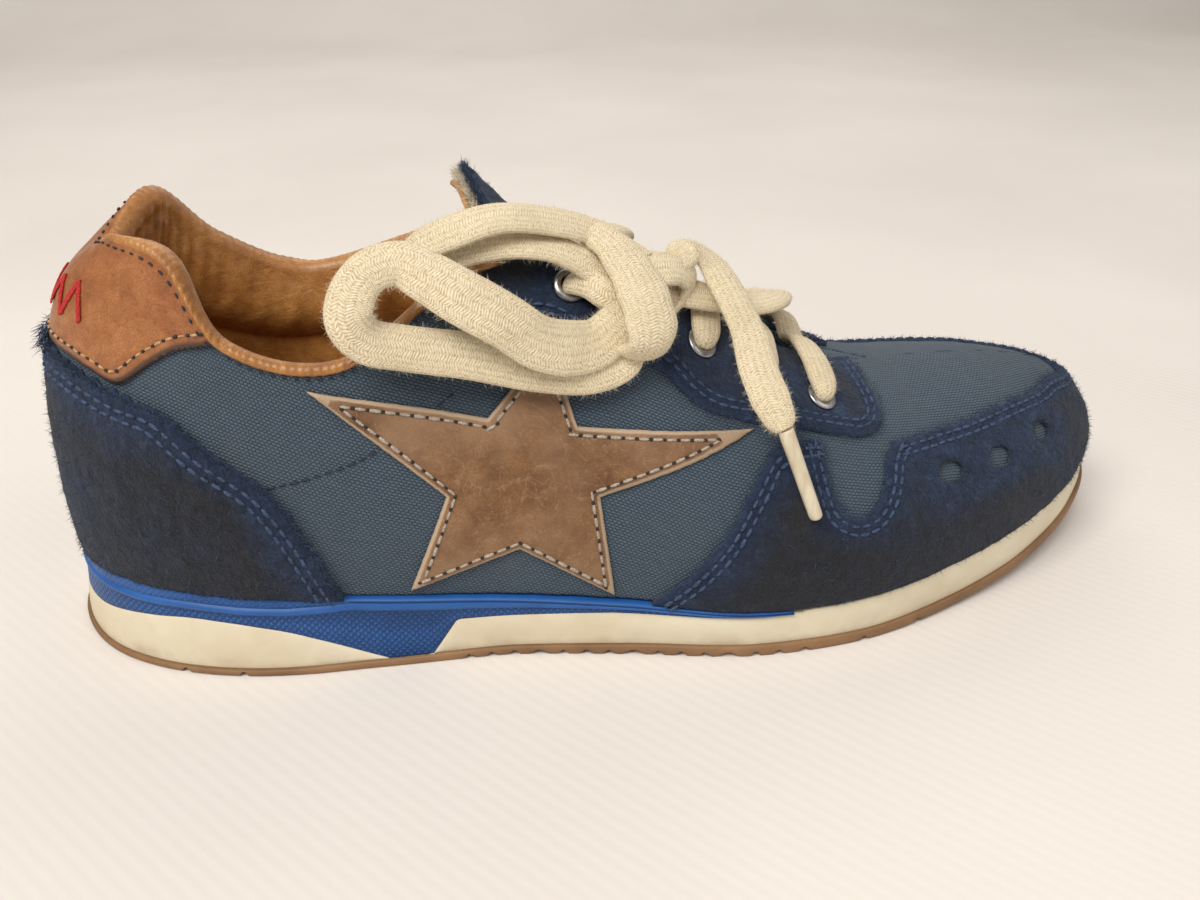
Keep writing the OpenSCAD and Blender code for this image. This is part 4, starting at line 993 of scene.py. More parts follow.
knot_a = loose_strand("knot_wrap", [(119, -14.8, 88), (122.5, -18.5, 86.2), (125.6, -22.5, 82.8),
                                    (127.8, -27, 78.6), (128.8, -30.8, 74),
                                    (128.2, -32.2, 70.2), (126, -30.5, 68), (123.5, -26, 69), (122.5, -20, 73)],
                      [(0.1, -0.5, 1), (0.1, -0.5, 1), (0.2, -0.8, 0.9),
                       (0.3, -1, 0.6), (0.3, -1, 0.1), (0.1, -0.8, -0.7),
                       (-0.2, -0.5, -1), (-0.5, 0.3, -1), (-0.6, 1, -0.3)],
                      [7.2, 8.2, 9.8, 11, 11.4, 10.4, 9, 7.4, 7], 3.4)
ride(knot_a, replaced="lace_knot")
knot_b = loose_strand("knot_under", [(122, -19.5, 80), (126, -22, 81), (131, -21.5, 81.5),
                                     (136, -19, 80.5), (139, -17, 77.5),
                                     (137, -17.5, 73.5), (132, -20, 71.5), (127, -21, 72)],
                      [(0, -0.6, 1), (0, -0.7, 1), (0.2, -0.7, 1), (0.7, -0.6, 0.8), (1, -0.5, 0), (0.6, -0.3, -0.8),
                       (0, -0.3, -1), (-0.3, 0, -1)], [6.5, 7, 7.4, 7.2, 7, 6.6, 6.4, 6], 2.8)
ride(knot_b)

# ---- the sole ----
FLARE = np.array([(0, 4.6), (2, 4), (3.5, 3.6), (5, 1.4), (7, 2.2), (9, 1.2), (12, 2.4), (15, 1.6), (17, 2),
                  (18.5, 1.5), (20, 3.4), (21, 4), (23, 4.6)])
TOE_LIFT = np.array([(0, 0), (180, 0), (200, 0.09), (220, 0.3), (240, 0.66), (256, 1)])
HEEL_TOP = np.array([(-3, 8.5), (6, 9.5), (17, 12), (30, 13.6), (40, 12.6), (50, 10.5), (60, 6.6), (68, 3), (73, 1)])
FORE_TOP = np.array([(79, 0), (86, 10.3), (120, 10.8), (140, 9.8), (153, 9.6), (159.5, 10.4), (161, 10.9)])
TOE_SPRING = 10.0
FRAME_END = 161.2        # ahead of here the foam reaches the upper
ARCH = 74                # the frame stands on the heel block behind here and on the forefoot block ahead of it


def smooth_table(x, table):
    """The table's line with its corners eased a little."""
    return sum(np.interp(x + d, table[:, 0], table[:, 1]) for d in (-3, -1.5, 0, 1.5, 3)) / 5


def rim_high(x):
    """How much of the gum's side shows below the foam: little at the heel."""
    return np.interp(x, [0, 50, 85, 130, 200, 256], [1.4, 1.5, 2.0, 2.6, 2.8, 2.6])


def sole_heights(s):
    p = station_values(s, 0, 3)
    x, feather = p[:, 0], p[:, 2]
    ground = smooth_table(x, TOE_LIFT) * TOE_SPRING
    rim = ground + rim_high(x)
    heel = np.maximum(smooth_table(x, HEEL_TOP), rim)
    fore = np.maximum(np.interp(x, FORE_TOP[:, 0], FORE_TOP[:, 1]), rim)
    fore = np.where(x > FRAME_END, feather, np.minimum(fore, feather - 0.5))
    return x, feather, ground, rim, heel, fore


def wall(s, z, extra):
    _, feather, ground, *_ = sole_heights(s)
    h = (z - ground) / (feather - ground)
    o = np.interp(s % ROUND, FLARE[:, 0], FLARE[:, 1]) * (1 - h) + h + extra
    p = np.concatenate([station_values(s, 0, 2), np.zeros((len(s), 1))], 1) + plan_out(s) * o[:, None]
    p[:, 2] = z
    return p - np.array([MID_X, 0, 0])


def sole_block(name, f0, f1, profile, mat, columns=420, dimple=None):
    """A band of the sole between two shares of its length. profile(s) gives rows of (height, standing out) from
    the bottom edge to the top edge; the caps run straight across the shoe."""
    half = int(columns * (f1 - f0) / 2) + 2
    f = np.linspace(f0, f1, half)
    lat, med = TOE * f, ROUND - (ROUND - TOE) * f
    closed_heel, closed_toe = f0 <= 0, f1 >= 1
    s = np.concatenate([lat, med[::-1][int(closed_toe): -1 if closed_heel else None]])
    n = len(s)
    rows = profile(s)
    pts = [wall(s, z, e) for z, e in rows]
    u = np.concatenate([[0], np.cumsum(np.linalg.norm(np.diff(pts[0][:, :2], axis=0), axis=1))])
    uv = np.vstack([np.stack([u, p[:, 2]], 1) for p in pts])
    faces = [(r * n + i, r * n + (i + 1) % n, (r + 1) * n + (i + 1) % n, (r + 1) * n + i)
             for r in range(len(pts) - 1) for i in range(n)]
    # the caps join each point to its partner across the shoe
    top = (len(pts) - 1) * n
    for i in range(n // 2 if closed_heel and closed_toe else half - 1):
        a, b = ((n - i) % n, (n - i - 1) % n) if closed_heel else (n - 1 - i, n - 2 - i)
        c = list(dict.fromkeys((i, i + 1, b, a)))
        if len(c) >= 3:
            faces += [tuple(top + j for j in c), tuple(c[::-1])]
    attrs = {"dimple": np.concatenate([dimple(s, z) for z, e in rows])} if dimple else None
    return facing_out(new_piece(name, np.vstack(pts), faces, mat, uv, attrs))


TREAD = [(88, 0.8), (93, 0.8), (98, 0.9), (103.5, 1.6), (109, 0.8), (114, 0.9), (119, 0.8), (124.5, 1.8), (130, 0.8),
         (135, 0.9), (140, 0.8), (145, 1.7), (151, 0.8), (156, 0.8), (162, 0.8), (176, 0.8), (190, 0.8),
         (28, 0.7), (40, 0.7)]


def outsole_rows(s):
    x, _, ground, *_ = sole_heights(s)
    cut = np.zeros(len(s))
    for at, w in TREAD:
        cut = np.maximum(cut, np.clip(1.35 - np.abs(x - at) / w, 0, 1))
    low = ground + cut * 1.1
    rows = [(low + 0.5 * a, e - cut * 0.5) for a, e in ((0, 0.15), (0.4, 0.5))]
    rows += [(np.maximum(ground + h * rim_high(x), low + 0.3), np.full(len(s), e))
             for h, e in ((0.3, 0.7), (0.6, 0.74), (0.86, 0.7), (0.97, 0.5), (1.0, 0.1))]
    return rows


BLOCK = [(0, -0.15), (0.04, 0.0), (0.25, 0.12), (0.5, 0.16), (0.75, 0.1), (0.96, -0.02), (1, -0.12)]
RIM, HEEL, FORE = 3, 4, 5        # places in sole_heights' results: what a foam block stands on and reaches up to


def block_rows(top):
    def rows(s):
        heights = sole_heights(s)
        return [(heights[RIM] + (heights[top] - heights[RIM]) * a, e) for a, e in BLOCK]
    return rows


ride(sole_block("gum_outsole", 0, 1, outsole_rows, gum, 900), replaced="outsole")
ride(sole_block("ivory_heel_block", 0, 0.335, block_rows(HEEL), ivory, 500), replaced="midsole_heel")
ride(sole_block("ivory_forefoot_block", 0.345, 1, block_rows(FORE), ivory, 700), replaced="midsole_forefoot")


def frame_lines(s):
    """Under the frame, its top, and how tall the lip along its top and the rail below that are."""
    x, feather, _, _, heel, fore = sole_heights(s)
    low = np.where(x < ARCH, heel, fore)
    # the rail sinks below the textured lip behind the arch and ends as the lip's own edge
    lip = np.interp(x, [0, 20, 50, 58, 64], [2.6, 2.8, 2.2, 1.2, 0.15])
    rail = np.interp(x, [0, 50, 70, 150, 162], [1.5, 1.7, 2.3, 1.9, 1.0])
    room = feather - low
    return x, low, feather, np.minimum(lip, room * 0.36), np.minimum(rail, room * 0.42)


def frame_rows(s):
    _, low, feather, lip, rail = frame_lines(s)
    lip_low, rail_low = feather - lip, feather - lip - rail
    z = [low, low + 0.1, low + (rail_low - low) * 0.5, rail_low - 0.15, rail_low, rail_low + 0.35 * rail,
         lip_low - 0.25 * rail, lip_low - 0.03, lip_low + 0.05, lip_low + 0.25 * lip, feather - 0.2, feather + 0.35,
         feather + 0.5]
    e = [-0.1, 0.0, 0.1, 0.0, 0.35, 0.75, 0.7, 0.15, 0.1, 0.55, 0.6, 0.3, -0.6]
    return [(np.maximum(a, low + 0.004 * k), np.full(len(s), b)) for k, (a, b) in enumerate(zip(z, e))]


def frame_dimple(s, z):
    x, _, feather, lip, rail = frame_lines(s)
    below = z < feather - lip - rail - 0.05
    return np.where(below, 1.0, np.where(z > feather - lip + 0.1, 0.45 * (x < 60), 0.0))


ride(sole_block("royal_frame", 0, 0.612, frame_rows, royal, 700, frame_dimple), replaced="midsole_frame")


def inner_layer(name, inset, z0, z1, mat, replaced, crown=0.0):
    f = np.linspace(0.03, 0.97, 90)
    lat, med = TOE * f, ROUND - (ROUND - TOE) * f
    out = []
    for s in (lat, med):
        p = station_values(s, 0, 3) - np.concatenate([plan_out(s)[:, :2] * inset, np.zeros((len(s), 1))], 1)
        out.append(p - np.array([MID_X, 0, 0]))
    a, b = out
    k = np.concatenate([[0.0, 0.012], np.linspace(0.05, 0.95, 13), [0.988, 1.0]])
    grid = a[None] + (b - a)[None] * k[:, None, None]
    lift = 1 - (2 * k[:, None] - 1) ** 8
    up = np.zeros(grid.shape)
    up[..., 2] = z1 - 0.5 * (1 - lift) + crown * ((2 * k[:, None] - 1) ** 2)
    down = np.zeros(grid.shape)
    down[..., 2] = z0
    uv = grid[..., :2]
    return ride(grid_shell(name, grid + up, grid + down, mat, uv), replaced=replaced)


inner_layer("lasting_board", 4.4, 0.3, 1.6, fibre_board, "insole_board")
inner_layer("footbed_leather", 5, 1.8, 4.8, lining_leather, "footbed")

# ---- the upper ----
CANVAS_T, GAP, OVERLAY_T, STAR_T, LINING_T, PAD_T = 0.9, 0.4, 1.2, 1.0, 1.0, 4.5
LOW, TOP = 0.015, 0.995
OVER_IN, OVER_OUT = 0.12, GAP + OVERLAY_T
LINING_D = -CANVAS_T - GAP - 1.2
eyelets_lat = [(7.78, 0.76), (7.27, 0.8), (6.8, 0.835), (6.31, 0.835), (5.82, 0.865)]
eyelets_med = [(16.12, 0.79), (16.55, 0.82), (17.05, 0.85), (17.55, 0.86), (18.02, 0.88)]
vents = [(8.99, 0.405), (9.61, 0.4), (10.27, 0.44)]
vents += [(ACROSS - s, t) for s, t in vents]
mudguard_edge = [(6.25, 0.03), (6.5, 0.115), (6.75, 0.225), (7, 0.385), (7.22, 0.52), (7.45, 0.575), (7.66, 0.59),
                 (7.74, 0.36), (7.87, 0.325), (8.02, 0.335), (8.16, 0.4), (8.28, 0.52), (8.4, 0.575), (9.34, 0.583),
                 (9.93, 0.625), (10.5, 0.655), (11, 0.7), (12, 0.72)]
foxing_edge = [(0, 0.57), (1.2, 0.555), (1.7, 0.55), (2.4, 0.575),
                (3.05, 0.55), (3.3, 0.485), (3.5, 0.34), (3.72, 0.03)]
tab_edge = [(0, 0.59), (1.2, 0.578), (1.6, 0.578), (1.93, 0.665), (2.4, 0.82), (2.82, 0.97)]
eyestay_edge = [(4.75, 0.96), (5.1, 0.88), (5.4, 0.81), (5.65, 0.765), (5.85, 0.69), (6.1, 0.66), (6.3, 0.67),
                (6.48, 0.675), (6.62, 0.635), (6.78, 0.612), (7.1, 0.617), (7.5, 0.628), (7.9, 0.618), (8.1, 0.612),
                (8.27, 0.635), (8.38, 0.69), (8.44, 0.85), (8.48, 0.96)]
eyestay_med_edge = [(15.62, 0.96), (15.66, 0.85), (15.74, 0.69), (15.9, 0.64), (16.2, 0.62), (16.7, 0.65), (17.2, 0.68),
                    (17.8, 0.72), (18.3, 0.76), (18.6, 0.9)]
star_points = [(3.7, 0.925), (5.08, 0.59), (5.62, 0.725), (5.75, 0.49), (7.12, 0.595), (5.85, 0.31), (5.9, 0.03),
               (5.15, 0.18), (4.25, 0.045), (4.65, 0.4)]


def other_side(edge, turn):
    """The edge's partner on the other side of the shoe, in the opposite order."""
    return np.stack([turn - edge[:, 0], edge[:, 1]], 1)[::-1]


def circle_hole(place, r, n=20, squeeze=1.0):
    """A round hole of a given radius in millimetres, as (station, height) pairs."""
    s, t = place
    e = 0.01
    ds = (last(s + e, t) - last(s - e, t)) / (2 * e)
    dt = (last(s, t + e) - last(s, t - e)) / (2 * e)
    ls, lt = np.linalg.norm(ds), np.linalg.norm(dt)
    a = np.linspace(0, 2 * math.pi, n, endpoint=False)
    return [(s + r * math.cos(k) / ls, t + r * squeeze * math.sin(k) / lt) for k in a]


def quarter(name, s0, s1, holes, replaced, seed):
    high = [(s1, TOP), (s0, TOP)] if s0 < 7.4 or s0 > 16 else [(s1, 1), (15, 1), (12, 1), (9, 1), (s0, 1)]
    outline = [(s0, LOW), (s1, LOW)] + high
    return ride(panel(name, outline, -CANVAS_T, 0.0, canvas, 1.7,
                      [circle_hole(h, 2.3) for h in holes], 0.5, 0, 0.12, seed),
                replaced=replaced)


quarter("canvas_quarter_lateral", 0.02, 7.39, eyelets_lat[1:], "quarter_lateral", 21)
quarter("canvas_quarter_medial", 16.23, 22.98, eyelets_med[1:], "quarter_medial", 22)
vamp = quarter("canvas_vamp", 7.45, 16.17, [eyelets_lat[0], eyelets_med[0]], "vamp", 23)
# its two halves meet along the ridge over the toes and are one cloth
bm = bmesh.new()
bm.from_mesh(vamp.data)
bmesh.ops.remove_doubles(bm, verts=[v for v in bm.verts if v.co.z > 0.040], dist=0.00004)
bm.to_mesh(vamp.data)
bm.free()


def throat_piece(name, s0, s1, mat, sink, crown):
    """Closes the throat in front of the laces, where the tongue's root is sewn in."""
    s_ = np.linspace(s0, s1, 40)[:, None]
    k = np.linspace(0, 1, 26)[None, :]
    lat_ = off(s_, 1.0, -sink)
    med_ = off(ACROSS - s_, 1.0, -sink)
    mid = lat_ * (1 - k[..., None]) + med_ * k[..., None]
    out = mid.copy()
    out[..., 2] += crown * np.sin(np.pi * k) * np.clip((s1 - s_) / 0.5, 0, 1)
    under = out.copy()
    under[..., 2] -= 1.3
    uv = np.stack([np.broadcast_to(s_ * 17, out.shape[:2]), k * np.linalg.norm(med_ - lat_, axis=-1)], -1)
    ob = grid_shell(name, out, under, mat, uv)
    edge_numbers(ob, np.full(len(ob.data.vertices), 4.0))
    return ride(ob)


throat_piece("throat_canvas", 8.3, 8.995, canvas, 0.5, 1.0)
throat_piece("throat_suede", 7.75, 8.42, suede, 1.0, 1.6)

guard_line = rounded(mudguard_edge[:7], 6)[:-1]
guard_notch = rounded(mudguard_edge[6:13], 6)
guard_toe = rounded(mudguard_edge[12:], 6)[1:]
guard_lat = np.vstack([guard_line, guard_notch, guard_toe])
guard_all = np.vstack([guard_lat, other_side(guard_lat, ACROSS)[1:]])
guard_outline = np.vstack([[(6.2, LOW)], guard_all, [(17.8, LOW)]])
guard = panel("suede_mudguard", guard_outline, OVER_IN, OVER_OUT, suede, 1.05,
              [circle_hole(v, 3.4, 22, 0.74) for v in vents], 1.0, 0.3, 0.1, 31, 0.10)
ride(guard, replaced="toe_mudguard")

fox_half = rounded(foxing_edge, 6)
fox_all = np.vstack([other_side(fox_half, 0)[:-1], fox_half])
fox_outline = np.vstack([fox_all, [(3.74, LOW), (-3.74, LOW)]])
foxing = panel("suede_foxing", fox_outline, OVER_IN, OVER_OUT + 0.5, suede, 1.05, (), 1.0, 0.42, 0.12, 32, 0.14)
ride(foxing, replaced="heel_foxing")

tab_half = rounded(tab_edge, 6)
tab_all = np.vstack([other_side(tab_half, 0)[:-1], tab_half])
tab_outline = np.vstack([tab_all, [(2.84, TOP), (-2.84, TOP)]])
tab = panel("leather_heel_tab", tab_outline, OVER_IN, OVER_OUT - 0.1, tab_leather, 1.2, (), 0.9, 0, 0.1, 33)
ride(tab, replaced="heel_tab")

stay_line = rounded(eyestay_edge, 6)
stay_outline = np.vstack([stay_line, [(8.5, TOP), (4.78, TOP)]])
stay = panel("suede_eyestay_lateral", stay_outline, OVER_IN, OVER_OUT, suede, 1.2,
             [circle_hole(h, 2.3) for h in eyelets_lat], 0.9, 0.25, 0.1, 34, 0.08)
ride(stay, replaced="eyestay_lateral")
stay_med_line = rounded(eyestay_med_edge, 6)
stay_med_outline = np.vstack([stay_med_line, [(18.62, TOP), (15.6, TOP)]])
stay_med = panel("suede_eyestay_medial", stay_med_outline, OVER_IN, OVER_OUT, suede, 1.2,
                 [circle_hole(h, 2.3) for h in eyelets_med], 0.9, 0.25, 0.1, 35, 0.08)
ride(stay_med, replaced="eyestay_medial")


def found_on_surface(seen, guess, rounds):
    """The (station, height) pairs whose points have the given x and z, starting from a guess."""
    st = guess
    for _ in range(rounds):
        e = 0.005
        now = last(st[:, 0], st[:, 1])[:, [0, 2]]
        js = (last(st[:, 0] + e, st[:, 1])[:, [0, 2]] - now) / e
        jt = (last(st[:, 0], st[:, 1] + e)[:, [0, 2]] - now) / e
        det = js[:, 0] * jt[:, 1] - js[:, 1] * jt[:, 0]
        d = seen - now
        step = [(d[:, 0] * jt[:, 1] - d[:, 1] * jt[:, 0]) / det, (js[:, 0] * d[:, 1] - js[:, 1] * d[:, 0]) / det]
        st = st + np.clip(np.stack(step, 1), -0.15, 0.15)
        st[:, 1] = np.clip(st[:, 1], 0.02, 0.985)
    return st


def flat_seen(points):
    """Straight sides between the corners as seen from the side, found on the curved surface."""
    q = np.asarray(points, float)
    p = last(q[:, 0], q[:, 1])[:, [0, 2]]
    chain, guess = [], []
    for i in range(len(p)):
        a, b = p[i], p[(i + 1) % len(p)]
        n = max(2, int(np.linalg.norm(b - a) / 1.5))
        for k in range(n):
            chain.append(a + (b - a) * k / n)
            guess.append(q[i] + (q[(i + 1) % len(q)] - q[i]) * k / n)
    return found_on_surface(np.array(chain), np.array(guess), 12)


star_outline = flat_seen(star_points)


def star_stitch_line(amount):
    """The star's outline drawn smaller by an even margin, with its corners kept."""
    q = np.asarray(star_points, float)
    p = last(q[:, 0], q[:, 1])[:, [0, 2]]
    area = (p[:, 0] * np.roll(p[:, 1], -1) - p[:, 1] * np.roll(p[:, 0], -1)).sum()
    sign = 1 if area > 0 else -1
    d = np.roll(p, -1, 0) - p
    d /= np.linalg.norm(d, axis=1, keepdims=True)
    n = np.stack([-d[:, 1], d[:, 0]], 1) * sign
    corners = []
    for i in range(len(p)):
        n0, n1, d0, d1 = n[i - 1], n[i], d[i - 1], d[i]
        a, b = p[i] + n0 * amount, p[i] + n1 * amount
        det = d0[0] * -d1[1] + d1[0] * d0[1]
        k = ((b - a)[0] * -d1[1] + d1[0] * (b - a)[1]) / det
        corners.append(a + d0 * k)
    line = flat_seen(found_on_surface(np.array(corners), q, 25))
    return np.vstack([line, line[:1]])


star_piece = panel("leather_star", star_outline, OVER_IN, GAP + STAR_T, star_leather, 1.1, (), 0.6,
                   0.04, 0.06, 36, 0, False)
ride(star_piece, replaced="star")

# ---- inside the upper ----
FILL = np.array([(-4.6, 0.1), (-3.6, 0.6), (-2.4, 1), (0, 0.75), (2.4, 1), (3.6, 0.6), (4.6, 0.1)])


def pad_at(s, t):
    k = np.interp(np.where(s > ROUND / 2, s - ROUND, s), FILL[:, 0], FILL[:, 1])
    u = np.clip((t - 0.62) / 0.38, 0, 1)
    return PAD_T * k * np.sin(np.pi * u ** 0.8)


def collar_lining():
    """The lining with its padded top, turned outward over the cut edge of the collar as a narrow binding."""
    s = np.linspace(-5.2, 6, 620)
    t_in = np.concatenate([np.linspace(LOW, 0.6, 26), np.linspace(0.615, 0.93, 34)])
    st, tt = np.meshgrid(s, t_in)
    u, v = surface_uv(st, tt)
    near_notch = np.exp(-(st / 1.6) ** 2)
    soft = np.clip((tt - 0.45) * 3, 0, 1)
    folds = ripple(u, v * 0.35, 10, 51) * 0.35 * soft
    pleats = near_notch * soft * 0.55 * np.sin(u * 1.55 + 1.5 * np.sin(v * 0.11)) * np.clip((tt - 0.62) * 5, 0, 1)
    depth = LINING_D - LINING_T - pad_at(st, tt) + folds + pleats
    inner = off(st, tt, depth)
    back = off(st, tt, LINING_D - pad_at(st, tt))
    ends = np.clip(np.minimum((s + 4.75) / 0.35, (5.35 - s) / 0.35), 0, 1)
    on_tab = np.clip((3.0 - np.abs(s)) / 0.2, 0, 1) * 0.95
    rim = last(s, 1.0)
    rise = rim - last(s, 0.97)
    rise /= np.linalg.norm(rise, axis=1, keepdims=True)
    out = outward(s, 0.99)
    arc = np.interp(s, S_TAB, U_TAB)
    gather = np.sin(arc * 2 * math.pi / 1.8 + 0.8 * np.sin(arc * 0.9))
    crease = 0.25 * near_notch[0] * np.sin(arc * 1.55)
    cap = [(-4.1, -1.6, 0), (-3.75, -0.5, 0), (-3.2, 0.4, 0.02), (-2.4, 1.0, 0.03), (-1.4, 1.25, 0.04),
           (-0.5, 1.15, 0.06),
           (0.2, 0.75, 0.08), (0.6, 0.25, 0.09), (0.75, -0.35, 0.1), (0.65, -0.9, 0.1), (0.35, -1.2, 0.1)]
    a_rows, b_rows = [], []
    for a, b, g in cap:
        outer_part = np.clip((a + 1.4) / 1.8, 0, 1)
        aa = a + on_tab * outer_part + gather * g * outer_part + crease * (1 - outer_part)
        aa = np.where(ends < 1, aa * ends + np.minimum(aa, -1.3) * (1 - ends), aa)
        bb = (b + gather * g * 0.8) * ends + np.minimum(b, -0.4) * (1 - ends)
        a_rows.append(rim + out * aa[:, None] + rise * bb[:, None])
        core_a, core_b = -1.4 + on_tab * 0.4, -1.1
        a2, b2 = core_a + (aa - core_a) * 0.6, core_b + (bb - core_b) * 0.6
        b_rows.append(rim + out * a2[:, None] + rise * b2[:, None])
    face = np.concatenate([inner, np.array(a_rows)])
    under = np.concatenate([back, np.array(b_rows)])
    vv = np.concatenate([v, v[-1] + np.arange(1, len(cap) + 1)[:, None] * 0.9])
    uu = np.concatenate([u, np.repeat(u[-1:], len(cap), 0)])
    return grid_shell("collar_lining", face, under, lining_leather, np.stack([uu, vv], -1))


collar = ride(collar_lining(), replaced=("lining_quarter", "collar_foam", "heel_counter", "topline_binding"))
s_v, t_v = np.meshgrid(np.linspace(6.05, 17.75, 180), np.linspace(LOW, TOP, 30))
ride(strip("vamp_lining", s_v, t_v, LINING_D, LINING_D - LINING_T, cloth_lining), replaced=("lining_vamp", "toe_puff"))

# ---- the tongue ----
TONGUE = np.array([(186, 2, 41.5, 11, 2.5), (172, 2, 45, 14, 4.5), (158, 1.5, 51, 15.5, 6.5), (142, 1, 60, 15.5, 8.5),
                   (125, 1, 72, 13.5, 9), (108, 1, 84.5, 13, 9), (96, 1, 96.5, 17, 5), (89, 1, 103, 17, 4)], float)


def tongue_at(f, v):
    f, v = np.broadcast_arrays(np.asarray(f, float), np.asarray(v, float))
    i = np.floor(np.clip(f, 0, len(TONGUE) - 1)).astype(int)
    u = (f - i)[..., None]
    n = len(TONGUE) - 1
    r = cubic(*[TONGUE[np.clip(i + k, 0, n)] for k in (-1, 0, 1, 2)], u)
    return np.stack([r[..., 0] - MID_X, r[..., 1] + r[..., 3] * v, r[..., 2] - r[..., 4] * v * v], -1)


def tongue_off(f, v, d):
    e = 0.02
    n = np.cross(tongue_at(f, v + e) - tongue_at(f, v - e), tongue_at(f + e, v) - tongue_at(f - e, v))
    n /= np.linalg.norm(n, axis=-1, keepdims=True)
    return tongue_at(f, v) - n * np.asarray(d)[..., None]


def tongue_layer(name, d0, d1, inset, mat, seed=1, rows=110, cols=56, past=0.0):
    """One layer of the tongue; its top edge is cut at a slant and its corners are round."""
    p = np.linspace(0, 1, rows)[:, None]
    q = np.linspace(-1, 1, cols)[None, :]
    wide = (1 - np.clip((p - 0.86) / 0.14, 0, 1) ** 2.6) ** (1 / 2.6)
    v = q * wide * (1 - inset)
    f = 0.1 + (6.02 + past - 0.5 * inset + 0.32 * v - 0.1) * p
    p, q, f, v = np.broadcast_arrays(p, q, f, v)
    edge = np.minimum((1 - np.abs(q)) * 14 * np.maximum(wide, 0.3), (1 - p) * 100)
    roll = np.clip(edge / 1.2, 0, 1)
    rise = (1 - np.sqrt(np.clip(1 - (1 - roll) ** 2, 0, 1))) * (d1 - d0) * 0.45
    wob = ripple(f * 20, v * 20, 10, seed) * 0.3 + 0.5 * np.sin(f * 3 + v * 2) * np.clip((f - 5) / 1.2, 0, 1)
    a = tongue_off(f, v, d0 + rise + wob)
    b = tongue_off(f, v, d1 - rise + wob)
    ob = grid_shell(name, a, b, mat, np.stack([v * 15, f * 17], -1))
    edge_numbers(ob, np.concatenate([edge.ravel()] * 2))
    return ob


tongue_face = ride(tongue_layer("tongue_suede", 0, 1.4, 0, tongue_suede, 61), "tongue", "tongue_face")
tongue_pad = ride(tongue_layer("tongue_padding", 1.3, 4.0, 0.04, raw_felt, 61), "tongue", "tongue_foam")
ride(tongue_layer("tongue_lining_leather", 3.9, 5.1, 0.0, lining_leather, 61, past=0.05), "tongue", "tongue_lining")

# ---- eyelets ----
def frame_on(s, t, d):
    n = outward(np.array([s]), np.array([t]))[0]
    return off(np.array([s]), np.array([t]), d)[0], n


def eyelet_rings(name, places, replaced):
    verts, faces = [], []
    prof = [(2.1, -0.9), (2.0, 0.1), (2.12, 0.42), (2.45, 0.62), (2.95, 0.6), (3.4, 0.35), (3.7, 0.02), (3.6, -0.05),
            (2.5, -0.05), (2.3, -0.9)]
    for s, t in places:
        c, n = frame_on(s, t, OVER_OUT + 0.1)
        a = np.cross(n, (1, 0, 0))
        a /= np.linalg.norm(a)
        b = np.cross(n, a)
        m = 40
        base = len(verts)
        for k in range(m):
            w = 2 * math.pi * k / m
            d = a * math.cos(w) + b * math.sin(w)
            verts += [c + d * r + n * z for r, z in prof]
        p = len(prof)
        for k in range(m):
            for q in range(p):
                i, j = base + k * p + q, base + k * p + (q + 1) % p
                i2, j2 = base + ((k + 1) % m) * p + q, base + ((k + 1) % m) * p + (q + 1) % p
                faces.append((i, j, j2, i2))
    return ride(facing_out(new_piece(name, verts, faces, nickel)), replaced=replaced)


eyelet_rings("eyelet_rings_lateral", eyelets_lat, "eyelets_lateral")
eyelet_rings("eyelet_rings_medial", eyelets_med, "eyelets_medial")

# ---- laces through the eyelets ----
LIFT = OVER_OUT + 0.9 + LACE_T / 2


def rim_lift(place, d=LIFT):
    return off(np.array([place[0]]), np.array([TOP]), d)[0]


def lace_run(name, points, guides, width=None):
    path = rounded(np.asarray(points, float), 12)
    g = rounded(np.asarray(guides, float), 12)
    n = len(path)
    k = np.linspace(0, 1, n)
    w = LACE_W * np.ones(n) if width is None else LACE_W * np.interp(k, *width)
    return tube(name, path, g, w, LACE_T, lace_braid, sides=22, flat=0.1)


crossing = []
pinch = ((0, 0.07, 0.2, 0.8, 0.93, 1), (0.35, 0.45, 0.95, 0.95, 0.45, 0.35))
half_pinch = ((0, 0.1, 0.3, 1), (0.35, 0.5, 0.95, 1))


def eyelet_start(place):
    """Out of the eyelet: a point under its bore and one just outside it, with the outward direction."""
    s, t = np.array([place[0]]), np.array([place[1]])
    n = outward(s, t)[0]
    return [off(s, t, -0.3)[0], off(s, t, 2.6)[0]], n


def bar(a, b, rise, both=True):
    pa, na = eyelet_start(a)
    pb, nb = eyelet_start(b)
    ea, eb = rim_lift(a), rim_lift(b)
    ga = outward(np.array([a[0]]), np.array([0.98]))[0]
    gb = outward(np.array([b[0]]), np.array([0.98]))[0]
    mid = (ea + eb) / 2 + np.array([0, 0, rise])
    near_a = off(np.array([a[0]]), np.array([a[1] + 0.09]), LIFT)[0]
    near_b = off(np.array([b[0]]), np.array([b[1] + 0.09]), LIFT)[0]
    if both:
        pts = [pa[0], pa[1], near_a, ea, mid, eb, near_b, pb[1], pb[0]]
        return pts, [na, na, na, ga, (0.4, 0, 1), gb, nb, nb, nb], pinch
    inward = (ea - eb)
    inward[0] = inward[2] = 0
    inward /= np.linalg.norm(inward)
    end = eb + inward * 7.5 - np.array([0, 0, 3.7])
    return [pa[0], pa[1], near_a, ea, mid, end], [na, na, na, ga, (0.4, 0, 1), gb], half_pinch


def as_guides(g):
    return [tuple(x) for x in g]


